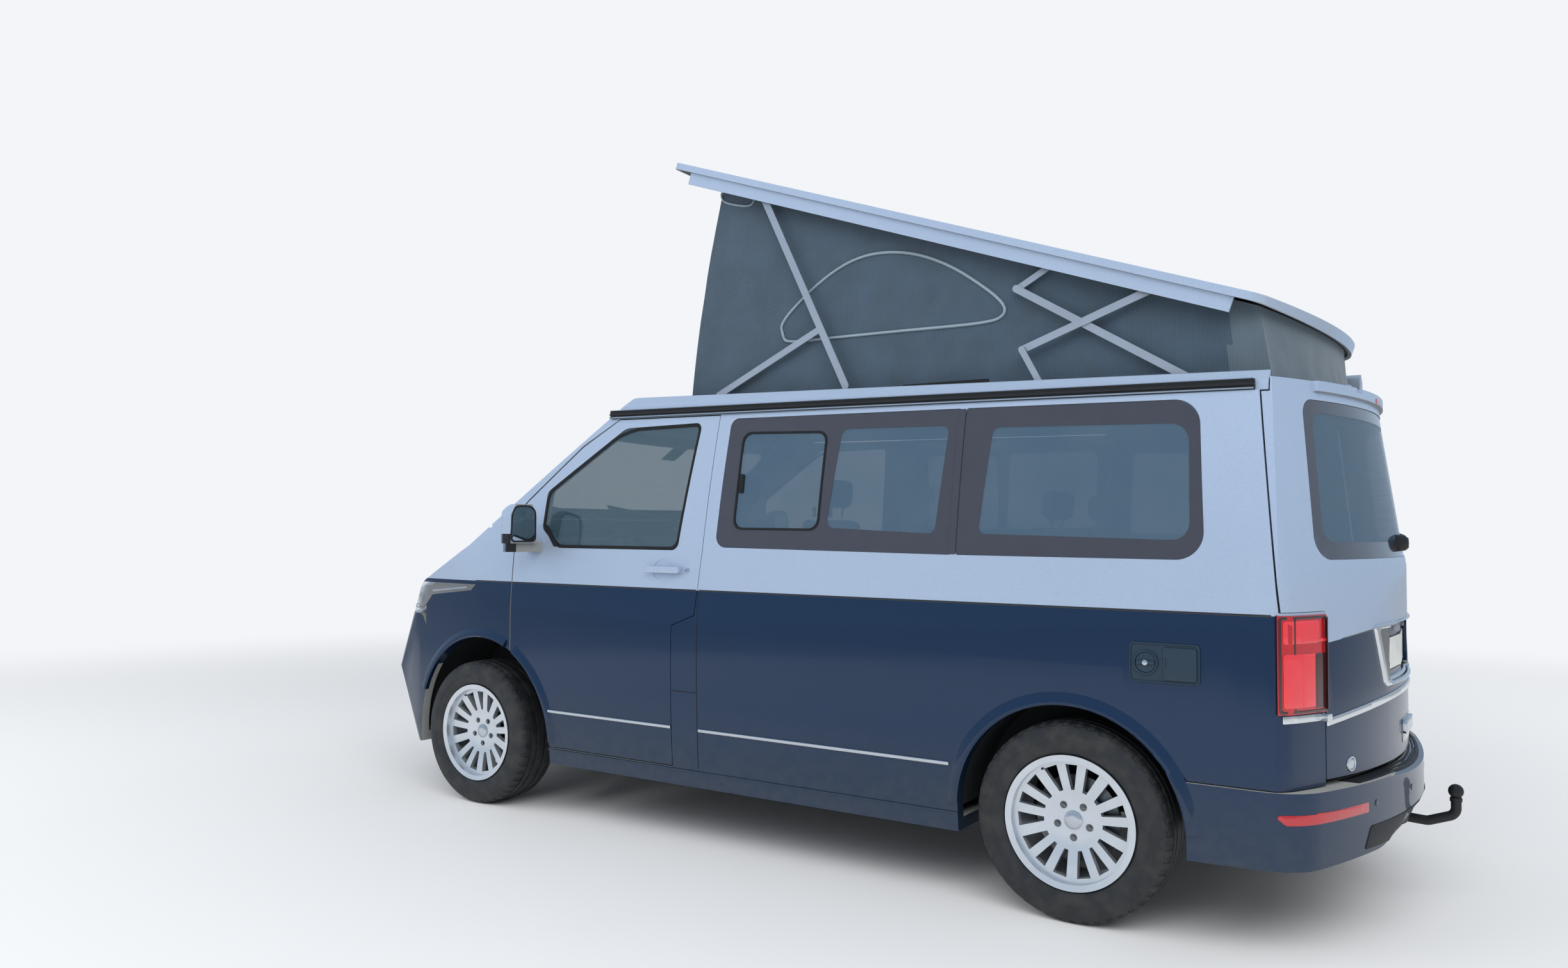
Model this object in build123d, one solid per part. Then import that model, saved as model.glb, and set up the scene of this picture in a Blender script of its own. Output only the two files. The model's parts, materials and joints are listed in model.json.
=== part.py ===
from build123d import *

import os
from math import atan2, cos, degrees, hypot, radians, sin, sqrt, tan

# Camper van with a pop-up roof, sliding side door and two-tone body.
# Sizes are in millimetres. Stations are measured from the middle of the wheelbase,
# X forwards, Y to the van's left and Z up from the ground. FRAME_X moves the finished
# parts so that the origin is on the ground under the middle of the whole length.

# Overall sizes
WHEELBASE = 3000
FRONT_OVERHANG = 908
REAR_OVERHANG = 996
BODY_WIDTH = 1904
TRACK = 1628
BALL_REACH = 130
BALL_RADIUS = 25
FRONT_X = WHEELBASE / 2 + FRONT_OVERHANG
REAR_X = -(WHEELBASE / 2 + REAR_OVERHANG)
FRAME_X = -(FRONT_X + REAR_X - BALL_REACH) / 2

# Walls, gaps and clearances
WALL = 45
BONNET_WALL = 27
GLASS = 6
GLASS_DEPTH = 4
GAP = 6
SEAT = 0.3

# Heights
SILL_Z = 255
FLOOR_Z = 340
FLOOR_THICK = 55
WAIST_Z = 1088
ROOF_LINE_Z = 1843
ROOF_LINE_SLOPE = 0.0135
BODY_TOP_Z = 2100

# Plan shape of the sides
PLAN_FRONT_X = 1000
PLAN_FRONT_R = 8400
PLAN_REAR_X = -1500
PLAN_REAR_R = 20000

# Windscreen, bonnet, nose and tail surfaces: each is a plan arc drawn along a slope
SCREEN_X = 1415
SCREEN_Z = 1480
SCREEN_ANGLE = 34
SCREEN_R = 2450
HOOD_X = 1625
HOOD_Z = 1349
HOOD_ANGLE = 27.8
HOOD_R = 1950
NOSE_Z = 625
NOSE_ANGLE = 70
NOSE_R = 2500
NOSE_CORNER = 500
CHIN_Z = 625
CHIN_LEAN = 0.42
TAIL_X = -2430
TAIL_Z = 1351
TAIL_LEAN = 0.145
TAIL_LOW_X = -2448
TAIL_R = 1850
TAIL_CORNER = 130

# Wheels and arches
TYRE_R = 345
TYRE_W = 235
RIM_R = 222
RIM_FLANGE_R = 235
HUB_FACE = 60
BOLT_CIRCLE = 120
BOLT_COUNT = 5
BOLT_HOLE_R = 7.5
FRONT_ARCH_X = 1455
FRONT_ARCH_R = 470
REAR_ARCH_X = -1495
REAR_ARCH_R = 408
ARCH_Z = 345
KINGPIN_Y = 700
FRONT_HOUSE_X = 1490
FRONT_HOUSE_R = 500
FRONT_HOUSE_Y = 480
REAR_HOUSE_Y = 640

# Pop-up roof: the closed shell and the far pole that it swings about
POLE_X = -2813
POLE_Z = 2072
ROOF_TRAVEL = 18.0
SHELL_HALF = 808
SHELL_FRONT_X = 505
SHELL_FRONT_BOW = 70
SHELL_REAR_X = -2134
SHELL_REAR_BOW = 166
SHELL_EDGE_Z = 1980
SHELL_SLOPE = 1.38
SHELL_SKIN = 24
SHELL_CROWN = 12
SHELL_LIP = 28
SKIRT_OUT = 793
SKIRT_THICK = 8
SKIRT_DEPTH = 80
FABRIC_HALF = 725
FABRIC_THICK = 4
FABRIC_REAR_X = -2278
FABRIC_REAR_R = 1950
FABRIC_LEAN = 0.16
FABRIC_FOOT_Z = 1862

# Roof frame under the shell
SHOULDER_IN = 799
SHOULDER_TOP_GAP = 6
CHANNEL_DEPTH = 62
ROOF_PLATE = 22
HATCH_HALF = 600
HATCH_FRONT_X = 220
HATCH_REAR_X = -1780
HATCH_CORNER = 20

# Linkage layers across the channel, from the inner ear plates outwards
BAR_THICK = 6
LAYER_Y = {"roof_link": 737, "body_arm": 746.5, "roof_arm": 756, "body_link": 765.5}
EAR_Y = (728.5, 733)
OUTER_EAR_Y = (775, 778.5)
PIN_R = 5
HINGE_PIN_R = 6
PIN_FIT = 0.2


def outline(rows):
    """Closed face from rows (u, v, corner radius)."""
    points = [Vector(u, v) for u, v, _ in rows]
    corners = []
    for i, (_, _, radius) in enumerate(rows):
        here = points[i]
        back = (points[i - 1] - here).normalized()
        ahead = (points[(i + 1) % len(rows)] - here).normalized()
        if radius == 0:
            corners.append((here, None, here))
            continue
        half = radians(back.get_angle(ahead)) / 2
        middle = (back + ahead).normalized()
        reach = radius / tan(half)
        arc_middle = here + middle * (radius / sin(half) - radius)
        corners.append((here + back * reach, arc_middle, here + ahead * reach))
    edges = []
    for i, (start, arc_middle, end) in enumerate(corners):
        if arc_middle is not None:
            edges.append(ThreePointArc(start, arc_middle, end))
        next_start = corners[(i + 1) % len(corners)][0]
        if (next_start - end).length > 0.001:
            edges.append(Line(end, next_start))
    return make_face(edges)


def across(face, y0, y1):
    """Solid from a face drawn in X and Z, between two Y planes."""
    placed = Plane(origin=(0, y0, 0), x_dir=(1, 0, 0), z_dir=(0, -1, 0)) * face
    return extrude(placed, amount=y1 - y0, dir=(0, 1, 0))


def upward(face, z0, z1, lean=0.0):
    """Solid from a face drawn in X and Y, between two heights, moved lean per mm in X."""
    run = Vector(lean, 0, 1)
    return extrude(Pos(0, 0, z0) * face, amount=(z1 - z0) * run.length, dir=run.normalized())


def along(face, x0, x1, rise=0.0, z0=0.0):
    """Solid from a face drawn in Y and Z, between two X planes, rising by rise per mm."""
    run = Vector(1, 0, rise)
    placed = Plane(origin=(x0, 0, z0), x_dir=(0, 1, 0), z_dir=(1, 0, 0)) * face
    return extrude(placed, amount=(x1 - x0) * run.length, dir=run.normalized())


def box(x0, x1, y0, y1, z0, z1):
    """Block between two corners."""
    return Pos((x0 + x1) / 2, (y0 + y1) / 2, (z0 + z1) / 2) * Box(x1 - x0, y1 - y0, z1 - z0)


def disc(x, z, radius, y0, y1):
    """Cylinder along Y."""
    return Pos(x, (y0 + y1) / 2, z) * Rot(90, 0, 0) * Cylinder(radius, y1 - y0)


def mirrored(shape):
    """Copy on the van's other side."""
    return mirror(shape, about=Plane.XZ)


def pieces(*shapes):
    """All solids of several shapes, kept apart."""
    return [solid for shape in shapes for solid in shape.solids()]


def sagitta(radius, half_width):
    """Depth of an arc over its half width."""
    return radius - sqrt(radius * radius - half_width * half_width)


def bow_face(x, radius, half_width, corner, back, sign=1):
    """Plan face with a bowed front of one radius, rounded corners and a far straight back."""
    edge_x = x - sign * sagitta(radius, half_width)
    face = make_face(
        [
            ThreePointArc((edge_x, -half_width), (x, 0), (edge_x, half_width)),
            Line((edge_x, half_width), (back, half_width)),
            Line((back, half_width), (back, -half_width)),
            Line((back, -half_width), (edge_x, -half_width)),
        ]
    )
    if corner:
        ends = face.vertices().sort_by(Axis.X)
        ends = ends[-2:] if sign > 0 else ends[:2]
        face = fillet(ends, corner)
    return face


def side_section(inset):
    """Cross-section of the body sides, from the sill to above the roof line."""
    low = ((925, SILL_Z + inset), (944, 520), (952, 900))
    high = ((952, 900), (914, 1390), (836, 1880))
    edges = []
    for side in (1, -1):
        low_points = [(side * (y - inset), z) for y, z in low]
        high_points = [(side * (y - inset), z) for y, z in high]
        edges.append(ThreePointArc(*low_points))
        edges.append(ThreePointArc(*high_points))
        edges.append(Line(high_points[-1], (high_points[-1][0], BODY_TOP_Z)))
    low_y = low[0][0] - inset
    high_y = high[-1][0] - inset
    edges.append(Line((-low_y, SILL_Z + inset), (low_y, SILL_Z + inset)))
    edges.append(Line((-high_y, BODY_TOP_Z), (high_y, BODY_TOP_Z)))
    return make_face(edges)


def plan_face(inset):
    """Plan of the body sides, slightly drawn in towards the nose and the tail."""
    half = BODY_WIDTH / 2 + 1 - inset
    edges = []
    ends = []
    for side in (1, -1):
        front = [(PLAN_FRONT_X + d, side * (half - d * d / (2 * PLAN_FRONT_R))) for d in (0, 750, 1500)]
        rear = [(PLAN_REAR_X - d, side * (half - d * d / (2 * PLAN_REAR_R))) for d in (0, 600, 1200)]
        edges.append(ThreePointArc(*front))
        edges.append(ThreePointArc(*rear))
        edges.append(Line(front[0], rear[0]))
        ends.append((front[-1], rear[-1]))
    edges.append(Line(ends[0][0], ends[1][0]))
    edges.append(Line(ends[0][1], ends[1][1]))
    return make_face(edges)


def slope_solid(x, z, lean, face_at, z0=0, z1=BODY_TOP_Z):
    """Solid whose plan face passes x at height z and moves lean per mm of height."""
    return upward(face_at(x + lean * (z0 - z)), z0, z1, lean)


def screen_solid(inset):
    """Everything behind the windscreen surface."""
    back = inset / sin(radians(SCREEN_ANGLE))
    return slope_solid(
        SCREEN_X - back,
        SCREEN_Z,
        -1 / tan(radians(SCREEN_ANGLE)),
        lambda x: bow_face(x, SCREEN_R, 1200, 0, -3600),
    )


def hood_solid(inset):
    """Everything below the bonnet surface."""
    back = inset / sin(radians(HOOD_ANGLE))
    return slope_solid(
        HOOD_X - back,
        HOOD_Z,
        -1 / tan(radians(HOOD_ANGLE)),
        lambda x: bow_face(x, HOOD_R, 1210, 0, -3700),
    )


def nose_solid(inset):
    """Everything behind the nose and above the tucked-in chin."""
    half = BODY_WIDTH / 2 + 4 - inset
    upper = slope_solid(
        FRONT_X - inset,
        NOSE_Z,
        -1 / tan(radians(NOSE_ANGLE)),
        lambda x: bow_face(x, NOSE_R, half, NOSE_CORNER - inset, -4500),
    )
    chin = slope_solid(
        FRONT_X - inset,
        CHIN_Z,
        CHIN_LEAN,
        lambda x: bow_face(x, NOSE_R, half + 2, NOSE_CORNER - inset, -5000),
    )
    return upper & chin


def tail_solid(inset):
    """Everything ahead of the tailgate surface."""
    half = BODY_WIDTH / 2 + 5 - inset
    sloped = slope_solid(
        TAIL_X + inset,
        TAIL_Z,
        TAIL_LEAN,
        lambda x: bow_face(x, TAIL_R, half, TAIL_CORNER - inset, 3200, -1),
    )
    upright = upward(bow_face(TAIL_LOW_X + inset, TAIL_R, half + 2, TAIL_CORNER - inset, 3300, -1), 0, BODY_TOP_Z)
    return sloped & upright


def envelope(inset):
    """Outer body shape, drawn in by inset on every face."""
    sides = along(side_section(inset), -2700, 2700) & upward(plan_face(inset), 0, BODY_TOP_Z)
    front = (screen_solid(inset) + hood_solid(inset)) & nose_solid(inset)
    return sides & front & tail_solid(inset)


def roof_line(x):
    """Height of the joint between the body sides and the roof frame."""
    return ROOF_LINE_Z + ROOF_LINE_SLOPE * x


def above_roof_line(drop=0.0):
    """Everything above the joint between the body sides and the roof frame."""
    x0, x1 = -2800, 2800
    rows = [
        (x0, roof_line(x0) - drop, 0),
        (x1, roof_line(x1) - drop, 0),
        (x1, BODY_TOP_Z + 200, 0),
        (x0, BODY_TOP_Z + 200, 0),
    ]
    return across(outline(rows), -1200, 1200)


OUTER = envelope(0)
INNER = envelope(WALL)
SKIN = OUTER - INNER
GLASS_SKIN = envelope(GLASS_DEPTH) - envelope(GLASS_DEPTH + GLASS)
ABOVE_ROOF = above_roof_line()
ABOVE_DOORS = above_roof_line(GAP)


def arch_cut(x, radius, y0):
    """Round wheel arch, open to the side."""
    return disc(x, ARCH_Z, radius, y0, 1100) + box(x - radius, x + radius, y0, 1100, 0, ARCH_Z)


# Side view of the left front door, without its gaps: (x, z, corner radius)
DOOR_ROWS = [
    (66, roof_line(66), 0),
    (96, 1256, 0),
    (110, 1093, 0),
    (124, 981, 12),
    (246, 933, 12),
    (246, 332, 10),
    (1236, 332, 0),
    (1236, 1418, 0),
    (1168, 1478, 30),
    (850, 1730, 60),
    (640, roof_line(640), 0),
]
# Side view of the door window
DOOR_WINDOW_ROWS = [
    (233, 1256, 40),
    (945, 1256, 30),
    (1060, 1345, 30),
    (1048, 1520, 40),
    (600, 1806, 90),
    (160, 1812, 30),
]
# Side view of the middle and the rear side window
MIDDLE_WINDOW_ROWS = [(32, 1272, 50), (4, 1822, 40), (-1070, 1808, 12), (-1058, 1260, 12)]
REAR_WINDOW_ROWS = [(-1074, 1260, 12), (-1086, 1808, 12), (-1932, 1795, 90), (-1962, 1258, 90)]
# Side view of the sliding door on the right
SLIDER_ROWS = [
    (104, 332, 10),
    (104, 1093, 0),
    (92, 1256, 0),
    (64, roof_line(64), 0),
    (-1079, roof_line(-1079), 0),
    (-1066, 1256, 0),
    (-1066, 332, 10),
]
# Side view of the hole for it, wider ahead so that no sliver is left behind the front door
SLIDER_HOLE_ROWS = [
    (104, 327, 0),
    (104, 1000, 0),
    (150, 1000, 0),
    (150, 1900, 0),
    (-1081, 1900, 0),
    (-1066, 1256, 0),
    (-1066, 327, 0),
]
DOOR_HINGE_X = 1236
DOOR_HINGE_Y = 956
DOOR_OPEN = 66
SHUT_X = -2183
SHUT_TOP_X = -2118
LAMP_LOW_Z = 780
LAMP_TOP_Z = 1089
LAMP_IN_Y = 755
TAILGATE_LOW_Z = 562
TAILGATE_HINGE_X = -2312
TAILGATE_HINGE_Z = 1862
TAILGATE_OPEN = 80
LIP_TOP_Z = 1856
BROW_FALL = 0.31
LIP_CORNER_X = -2144
SPOILER_X = -2376
BUMPER_TOP_Z = 540
HINGE_FOOT_Z = 1806


def inset_rows(rows, gap):
    """Face of an outline, drawn in by a gap."""
    return offset(outline(rows), amount=-gap, kind=Kind.INTERSECTION)


def door_shell():
    """Left front door: outer skin and frame in one, window cut, with the arch's bite at its foot."""
    region = across(inset_rows(DOOR_ROWS, GAP / 2), 500, 1200)
    window = across(outline(DOOR_WINDOW_ROWS), 500, 1200)
    shell = SKIN & region
    shell = shell - window - ABOVE_DOORS
    shell = shell - arch_cut(FRONT_ARCH_X, FRONT_ARCH_R, 500)
    rim = across(inset_rows(DOOR_ROWS, 22), 500, 1200)
    step = (INNER_STEP & region) - rim
    return shell - step


INNER_STEP = envelope(20) - envelope(WALL + 1)


def door_glass():
    """Pane that closes the door's window."""
    return GLASS_SKIN & across(inset_rows(DOOR_WINDOW_ROWS, SEAT), 500, 1200)


def side_region():
    """Side view of the fixed side panel, from the door pillar to the tailgate's shut line."""
    rows = [
        (-2600, SILL_Z - 10, 0),
        (1500, SILL_Z - 10, 0),
        (1500, 332 - GAP / 2, 0),
        (104 + 142, 332 - GAP / 2, 0),
        (246, 933, 0),
        (124, 981, 0),
        (110, 1093, 0),
        (96, 1256, 0),
        (66, roof_line(66), 0),
        (SHUT_TOP_X, roof_line(SHUT_TOP_X), 0),
        (SHUT_X, LAMP_TOP_Z + 8, 0),
        (-2600, LAMP_TOP_Z + 8, 0),
    ]
    return across(outline(rows), 500, 1200)


def lamp_region(grow):
    """Tail lamp: a block that wraps the rear corner."""
    return box(-2700, SHUT_X + 3 + grow, LAMP_IN_Y - grow, 1200, LAMP_LOW_Z - grow, LAMP_TOP_Z + grow)


def side_panel():
    """Fixed left side: pillars, lower side, rear corner and sill, with both windows and arches cut."""
    panel = SKIN & side_region()
    panel = panel - box(-2700, -1830, 0, 1200, 0, BUMPER_TOP_Z + 4)
    panel = panel - box(-2700, SHUT_X, 0, LAMP_IN_Y, 0, 1200)
    panel = panel - lamp_region(0)
    panel = panel - arch_cut(REAR_ARCH_X, REAR_ARCH_R, 500) - arch_cut(FRONT_ARCH_X, FRONT_ARCH_R, 500)
    panel = panel - box(1000, 2700, 0, 1200, 0, 600)
    for rows in (MIDDLE_WINDOW_ROWS, REAR_WINDOW_ROWS):
        panel = panel - across(outline(rows), 500, 1200)
    return panel


def tail_lamp():
    """Left tail lamp with a slightly proud lens."""
    wall = envelope(-8) - INNER
    return wall & lamp_region(-SEAT)


def side_glass(rows):
    """Side window pane on the left."""
    return GLASS_SKIN & across(inset_rows(rows, SEAT), 500, 1200)


def tailgate_region(gap):
    """Rear view block of the tailgate: wide above the lamps, narrow between them."""
    rows = [
        (SHUT_TOP_X - gap, roof_line(SHUT_TOP_X) - GAP, 0),
        (SHUT_X - gap, LAMP_TOP_Z + GAP + 4, 0),
        (-2700, LAMP_TOP_Z + GAP + 4, 0),
        (-2700, 2000, 0),
        (SHUT_TOP_X - gap, 2000, 0),
    ]
    wide = across(outline(rows), -1200, 1200)
    half = LAMP_IN_Y - GAP
    narrow = box(-2700, SHUT_X, -half, half, TAILGATE_LOW_Z, LAMP_TOP_Z + GAP + 5)
    return wide + narrow


# Rear view of the tailgate's window: (y, z, corner radius)
TAIL_WINDOW_ROWS = [(-782, 1262, 70), (782, 1262, 70), (716, 1792, 60), (-716, 1792, 60)]
PLATE_RECESS = (300, 835, 1030)
RAIL_Y = 840 + SEAT
AWNING_X = (-2205, 430)
AWNING_RISE = 140


def tailgate():
    """Tailgate shell with its window, number-plate recess and roof spoiler."""
    lip_front = upward(bow_face(TAILGATE_HINGE_X, TAIL_R, 1190, 0, 3200, -1), 0, 2400)
    lip_front = lip_front + box(LIP_CORNER_X - GAP, 3000, -1200, 1200, 0, 2400)
    shell = (SKIN & tailgate_region(GAP)) - (ABOVE_DOORS & lip_front)
    shell = shell - box(-2700, 0, -1200, 1200, LIP_TOP_Z, 2300)
    shell = shell - along(outline(TAIL_WINDOW_ROWS), -2700, -2000)
    half, low, high = PLATE_RECESS
    recess = along(outline([(-half, low, 20), (half, low, 20), (half - 20, high, 20), (20 - half, high, 20)]), -2700, -2000)
    shell = shell - ((OUTER - envelope(22)) & recess)
    blade = upward(bow_face(SPOILER_X, TAIL_R, 640, 12, -2150, -1), LIP_TOP_Z - 34, LIP_TOP_Z)
    blade = blade - OUTER + (SKIN & box(-2700, -2100, -640, 640, LIP_TOP_Z - 34, LIP_TOP_Z) - lip_front)
    gate = shell + blade
    for fixed, moving, notch in tailgate_hinges():
        gate = (gate - notch) + moving
    return gate


def tailgate_hinges():
    """Two hinges: pin with its bracket on the roof, lug on the tailgate, and the lug's notch."""
    x, z = TAILGATE_HINGE_X, TAILGATE_HINGE_Z
    sets = []
    for turn in (lambda s: s, mirrored):
        bracket = box(x - 7, x + 48, 300, 320, z - 9, z + 9) + box(x + 34, x + 48, 300, 320, HINGE_FOOT_Z, z + 9)
        pin = disc(x, z, HINGE_PIN_R, 310, 344)
        lug = across(outline([(x - 9, z - 30, 0), (x + 9, z - 30, 0), (x + 9, z + 9, 5), (x - 9, z + 9, 5)]), 326, 342)
        lug = lug - disc(x, z, HINGE_PIN_R + PIN_FIT, 320, 350)
        notch = box(x - 100, x + 80, 294, 350, z - 22, z + 40)
        sets.append((turn(bracket + pin), turn(lug), turn(notch)))
    return sets


def tailgate_glass():
    """Tailgate pane."""
    return GLASS_SKIN & along(offset(outline(TAIL_WINDOW_ROWS), amount=-SEAT, kind=Kind.INTERSECTION), -2700, -2000)


BONNET_HALF = 828
BONNET_REAR_X = 1590
BONNET_HINGE_X = 1440
BONNET_HINGE_Z = 1362
BONNET_OPEN = 50


def bonnet():
    """Bonnet skin between the wings, from the cowl to the grille."""
    skin = OUTER - hood_solid(BONNET_WALL)
    rear = upward(bow_face(BONNET_REAR_X, SCREEN_R, 1200, 0, -3200), 0, BODY_TOP_Z)
    half = BONNET_HALF - GAP / 2
    sheet = (skin & box(1200, 2700, -half, half, 900, 1500)) - rear
    for _, lug, _ in bonnet_hinges():
        sheet = sheet + lug
    return sheet


def bonnet_hinges():
    """Two gooseneck hinges: pin in the cowl, arm on the bonnet, and the arm's slot in the cowl."""
    x, z = BONNET_HINGE_X, BONNET_HINGE_Z
    rows = [
        (x + 60, z - 44, 0),
        (x + 60, z - 24, 0),
        (x + 7, z + 9, 5),
        (x - 9, z + 9, 5),
        (x - 9, z - 9, 5),
        (x + 30, z - 44, 10),
    ]
    arm = across(outline(rows), 752, 764) - disc(x, z, HINGE_PIN_R + PIN_FIT, 740, 780)
    pin = disc(x, z, HINGE_PIN_R, 742, 774)
    slot = box(x - 16, x + 80, 746, 770, z - 60, z + 60)
    return [(pin, arm, slot), (mirrored(pin), mirrored(arm), mirrored(slot))]


def front_shell():
    """Everything in the nose wall below the bonnet's gap."""
    return SKIN & hood_solid(BONNET_WALL + GAP)


# Side view of the headlight: (x, z, corner radius)
HEADLIGHT_ROWS = [
    (1496, 1069, 0),
    (1530, 1040, 8),
    (1850, 1006, 20),
    (1950, 906, 12),
    (2320, 918, 12),
    (2320, 1069, 0),
]
HEADLIGHT_IN_Y = 560
BUMPER_SEAM_ROWS = [
    (1790, 640, 0),
    (1806, 706, 0),
    (1930, 896, 0),
    (1950, 906, 0),
    (2700, 906, 0),
    (2700, 200, 0),
    (1785, 200, 0),
]


def headlight():
    """Left headlight lens body at the nose corner."""
    split = BONNET_HALF + GAP / 2
    inner = across(outline(HEADLIGHT_ROWS), HEADLIGHT_IN_Y, split) & hood_solid(BONNET_WALL + GAP)
    return SKIN & (inner + across(outline(HEADLIGHT_ROWS), split, 1200))


def grille():
    """Upper grille: two blades between the headlights in a frame."""
    half = HEADLIGHT_IN_Y - SEAT
    band = front_shell() & box(1900, 2700, -half, half, 906 + SEAT, 1060)
    slots = box(1900, 2700, -half + 25, half - 25, 930, 947) + box(1900, 2700, -half + 25, half - 25, 962, 979)
    return band - (slots & (OUTER - envelope(WALL - 12)))


def front_bumper():
    """Front bumper with its lower air intake."""
    skin = SKIN & across(outline(BUMPER_SEAM_ROWS), -1200, 1200)
    skin = skin - arch_cut(FRONT_ARCH_X, FRONT_ARCH_R, 500) - mirrored(arch_cut(FRONT_ARCH_X, FRONT_ARCH_R, 500))
    intake = outline([(-560, 330, 30), (560, 330, 30), (620, 470, 30), (-620, 470, 30)])
    return skin - along(intake, 2000, 2700)


def lower_grille():
    """Slatted insert right behind the bumper's intake."""
    half = 640
    front = FRONT_X - WALL - 1
    ends = []
    edges = []
    for x in (front, front - 12):
        end_x = x - sagitta(2150, half)
        edges.append(ThreePointArc((end_x, -half), (x, 0), (end_x, half)))
        ends.append(end_x)
    for side in (half, -half):
        edges.append(Line((ends[0], side), (ends[1], side)))
    low, high = 308, 492
    plate = upward(Pos(CHIN_LEAN * (low - CHIN_Z), 0) * make_face(edges), low, high, CHIN_LEAN)
    frame = outline([(-600, 310, 30), (600, 310, 30), (636, 490, 30), (-636, 490, 30)])
    plate = plate & along(frame, 1700, 2700)
    for z in (340, 372, 404, 436):
        slot = outline([(-570, z, 6), (570, z, 6), (570, z + 20, 6), (-570, z + 20, 6)])
        plate = plate - along(slot, 1700, 2700)
    return plate


def wing():
    """Left front wing between door, bonnet, headlight, bumper and arch."""
    rows = [
        (DOOR_HINGE_X + GAP / 2, 200, 0),
        (DOOR_HINGE_X + GAP / 2, 1349, 0),
        (2700, 1349, 0),
        (2700, 200, 0),
    ]
    region = across(outline(rows), BONNET_HALF + GAP / 2, 1200)
    panel = SKIN & region
    panel = panel - across(outline(HEADLIGHT_ROWS), 0, 1200) - across(outline(BUMPER_SEAM_ROWS), 0, 1200)
    panel = panel - arch_cut(FRONT_ARCH_X, FRONT_ARCH_R, 500) - box(1900, 2700, 0, 1200, 0, 1002)
    return panel


def windscreen_frame():
    """Windscreen pillars and cowl, down to the bulkhead."""
    rows = [
        (DOOR_HINGE_X + GAP / 2, 1349 + SEAT, 0),
        (DOOR_HINGE_X + GAP / 2, 1420, 0),
        (1172, 1481, 30),
        (854, 1733, 60),
        (644, roof_line(644), 0),
        (1700, roof_line(1700), 0),
        (1700, 1349 + SEAT, 0),
    ]
    region = across(outline(rows), -1200, 1200)
    frame = SKIN & region & upward(bow_face(BONNET_REAR_X - GAP, SCREEN_R, 1200, 0, -3200), 0, BODY_TOP_Z)
    frame = frame - ABOVE_ROOF
    frame = frame - along(outline(WINDSCREEN_ROWS), 500, 1900)
    for pin, _, slot in bonnet_hinges():
        frame = (frame - slot) + pin
    return frame


# Front view of the windscreen: (y, z, corner radius)
WINDSCREEN_ROWS = [(-800, 1392, 70), (800, 1392, 70), (712, 1826, 70), (-712, 1826, 70)]


def windscreen():
    """Windscreen pane."""
    opening = offset(outline(WINDSCREEN_ROWS), amount=-SEAT, kind=Kind.INTERSECTION)
    return GLASS_SKIN & along(opening, 500, 1900)


def shell_outline(inset, x_inset):
    """Plan of the pop-up roof shell, bowed at both ends."""
    half = SHELL_HALF - inset
    front = SHELL_FRONT_X - x_inset
    rear = SHELL_REAR_X + x_inset
    face = make_face(
        [
            ThreePointArc((front, half), (front + SHELL_FRONT_BOW, 0), (front, -half)),
            Line((front, -half), (rear, -half)),
            ThreePointArc((rear, -half), (rear - SHELL_REAR_BOW, 0), (rear, half)),
            Line((rear, half), (front, half)),
        ]
    )
    return fillet(face.vertices(), 60)


def to_closed(shape):
    """Tilt a shape drawn level at height 0 to the closed shell's edge plane."""
    tilt = Rot(0, -SHELL_SLOPE, 0)
    return Pos(SHELL_FRONT_X, 0, SHELL_EDGE_Z) * tilt * Pos(-SHELL_FRONT_X, 0, 0) * shape


def to_open(shape):
    """Swing a closed roof shape up about the far pole."""
    return Pos(POLE_X, 0, POLE_Z) * Rot(0, -ROOF_TRAVEL, 0) * Pos(-POLE_X, 0, -POLE_Z) * shape


def swing(x, z, angle, x0=POLE_X, z0=POLE_Z):
    """Point turned about a pivot in side view, by degrees, front end rising for positive."""
    c, s = cos(radians(angle)), sin(radians(angle))
    return (x0 + (x - x0) * c - (z - z0) * s, z0 + (x - x0) * s + (z - z0) * c)


# Pivots in the open pose: name, layer, fixed pivot (x, z), free end (x, z), where it is carried
LINKS = {
    "front_long_arms": ("roof_arm", (-89, 2793), (-506, 1940), 32),
    "front_short_arms": ("body_arm", (150, 1940), (-381, 2189), 28),
    "rear_roof_arms": ("roof_arm", (-1782, 2210), (-1272, 2025), 28),
    "rear_body_arms": ("body_arm", (-1863, 1885), (-1244, 2259), 28),
    "rear_body_links": ("body_link", (-1343, 1895), (-1272, 2025), 24),
    "rear_roof_links": ("roof_link", (-1388, 2338), (-1244, 2259), 24),
}
FOOT_SLOT = (-990, -560, 750, 768)


def link_pair(layer, pivot, end, width):
    """Left and right bar with round ends, holed at its fixed pivot."""
    y0 = LAYER_Y[layer]
    length = hypot(end[0] - pivot[0], end[1] - pivot[1])
    angle = degrees(atan2(end[1] - pivot[1], end[0] - pivot[0]))
    slot = SlotCenterToCenter(length, width)
    face = Pos((pivot[0] + end[0]) / 2, (pivot[1] + end[1]) / 2) * Rot(0, 0, angle) * slot
    bar = across(face, y0, y0 + BAR_THICK)
    bar = bar - disc(pivot[0], pivot[1], PIN_R + PIN_FIT, y0 - 1, y0 + BAR_THICK + 1)
    return bar, mirrored(bar)


def frame_top(x):
    """Height of the roof frame's shoulder at a station."""
    return SHELL_EDGE_Z - SHELL_LIP - SHOULDER_TOP_GAP + (x - SHELL_FRONT_X) * tan(radians(SHELL_SLOPE))


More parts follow.
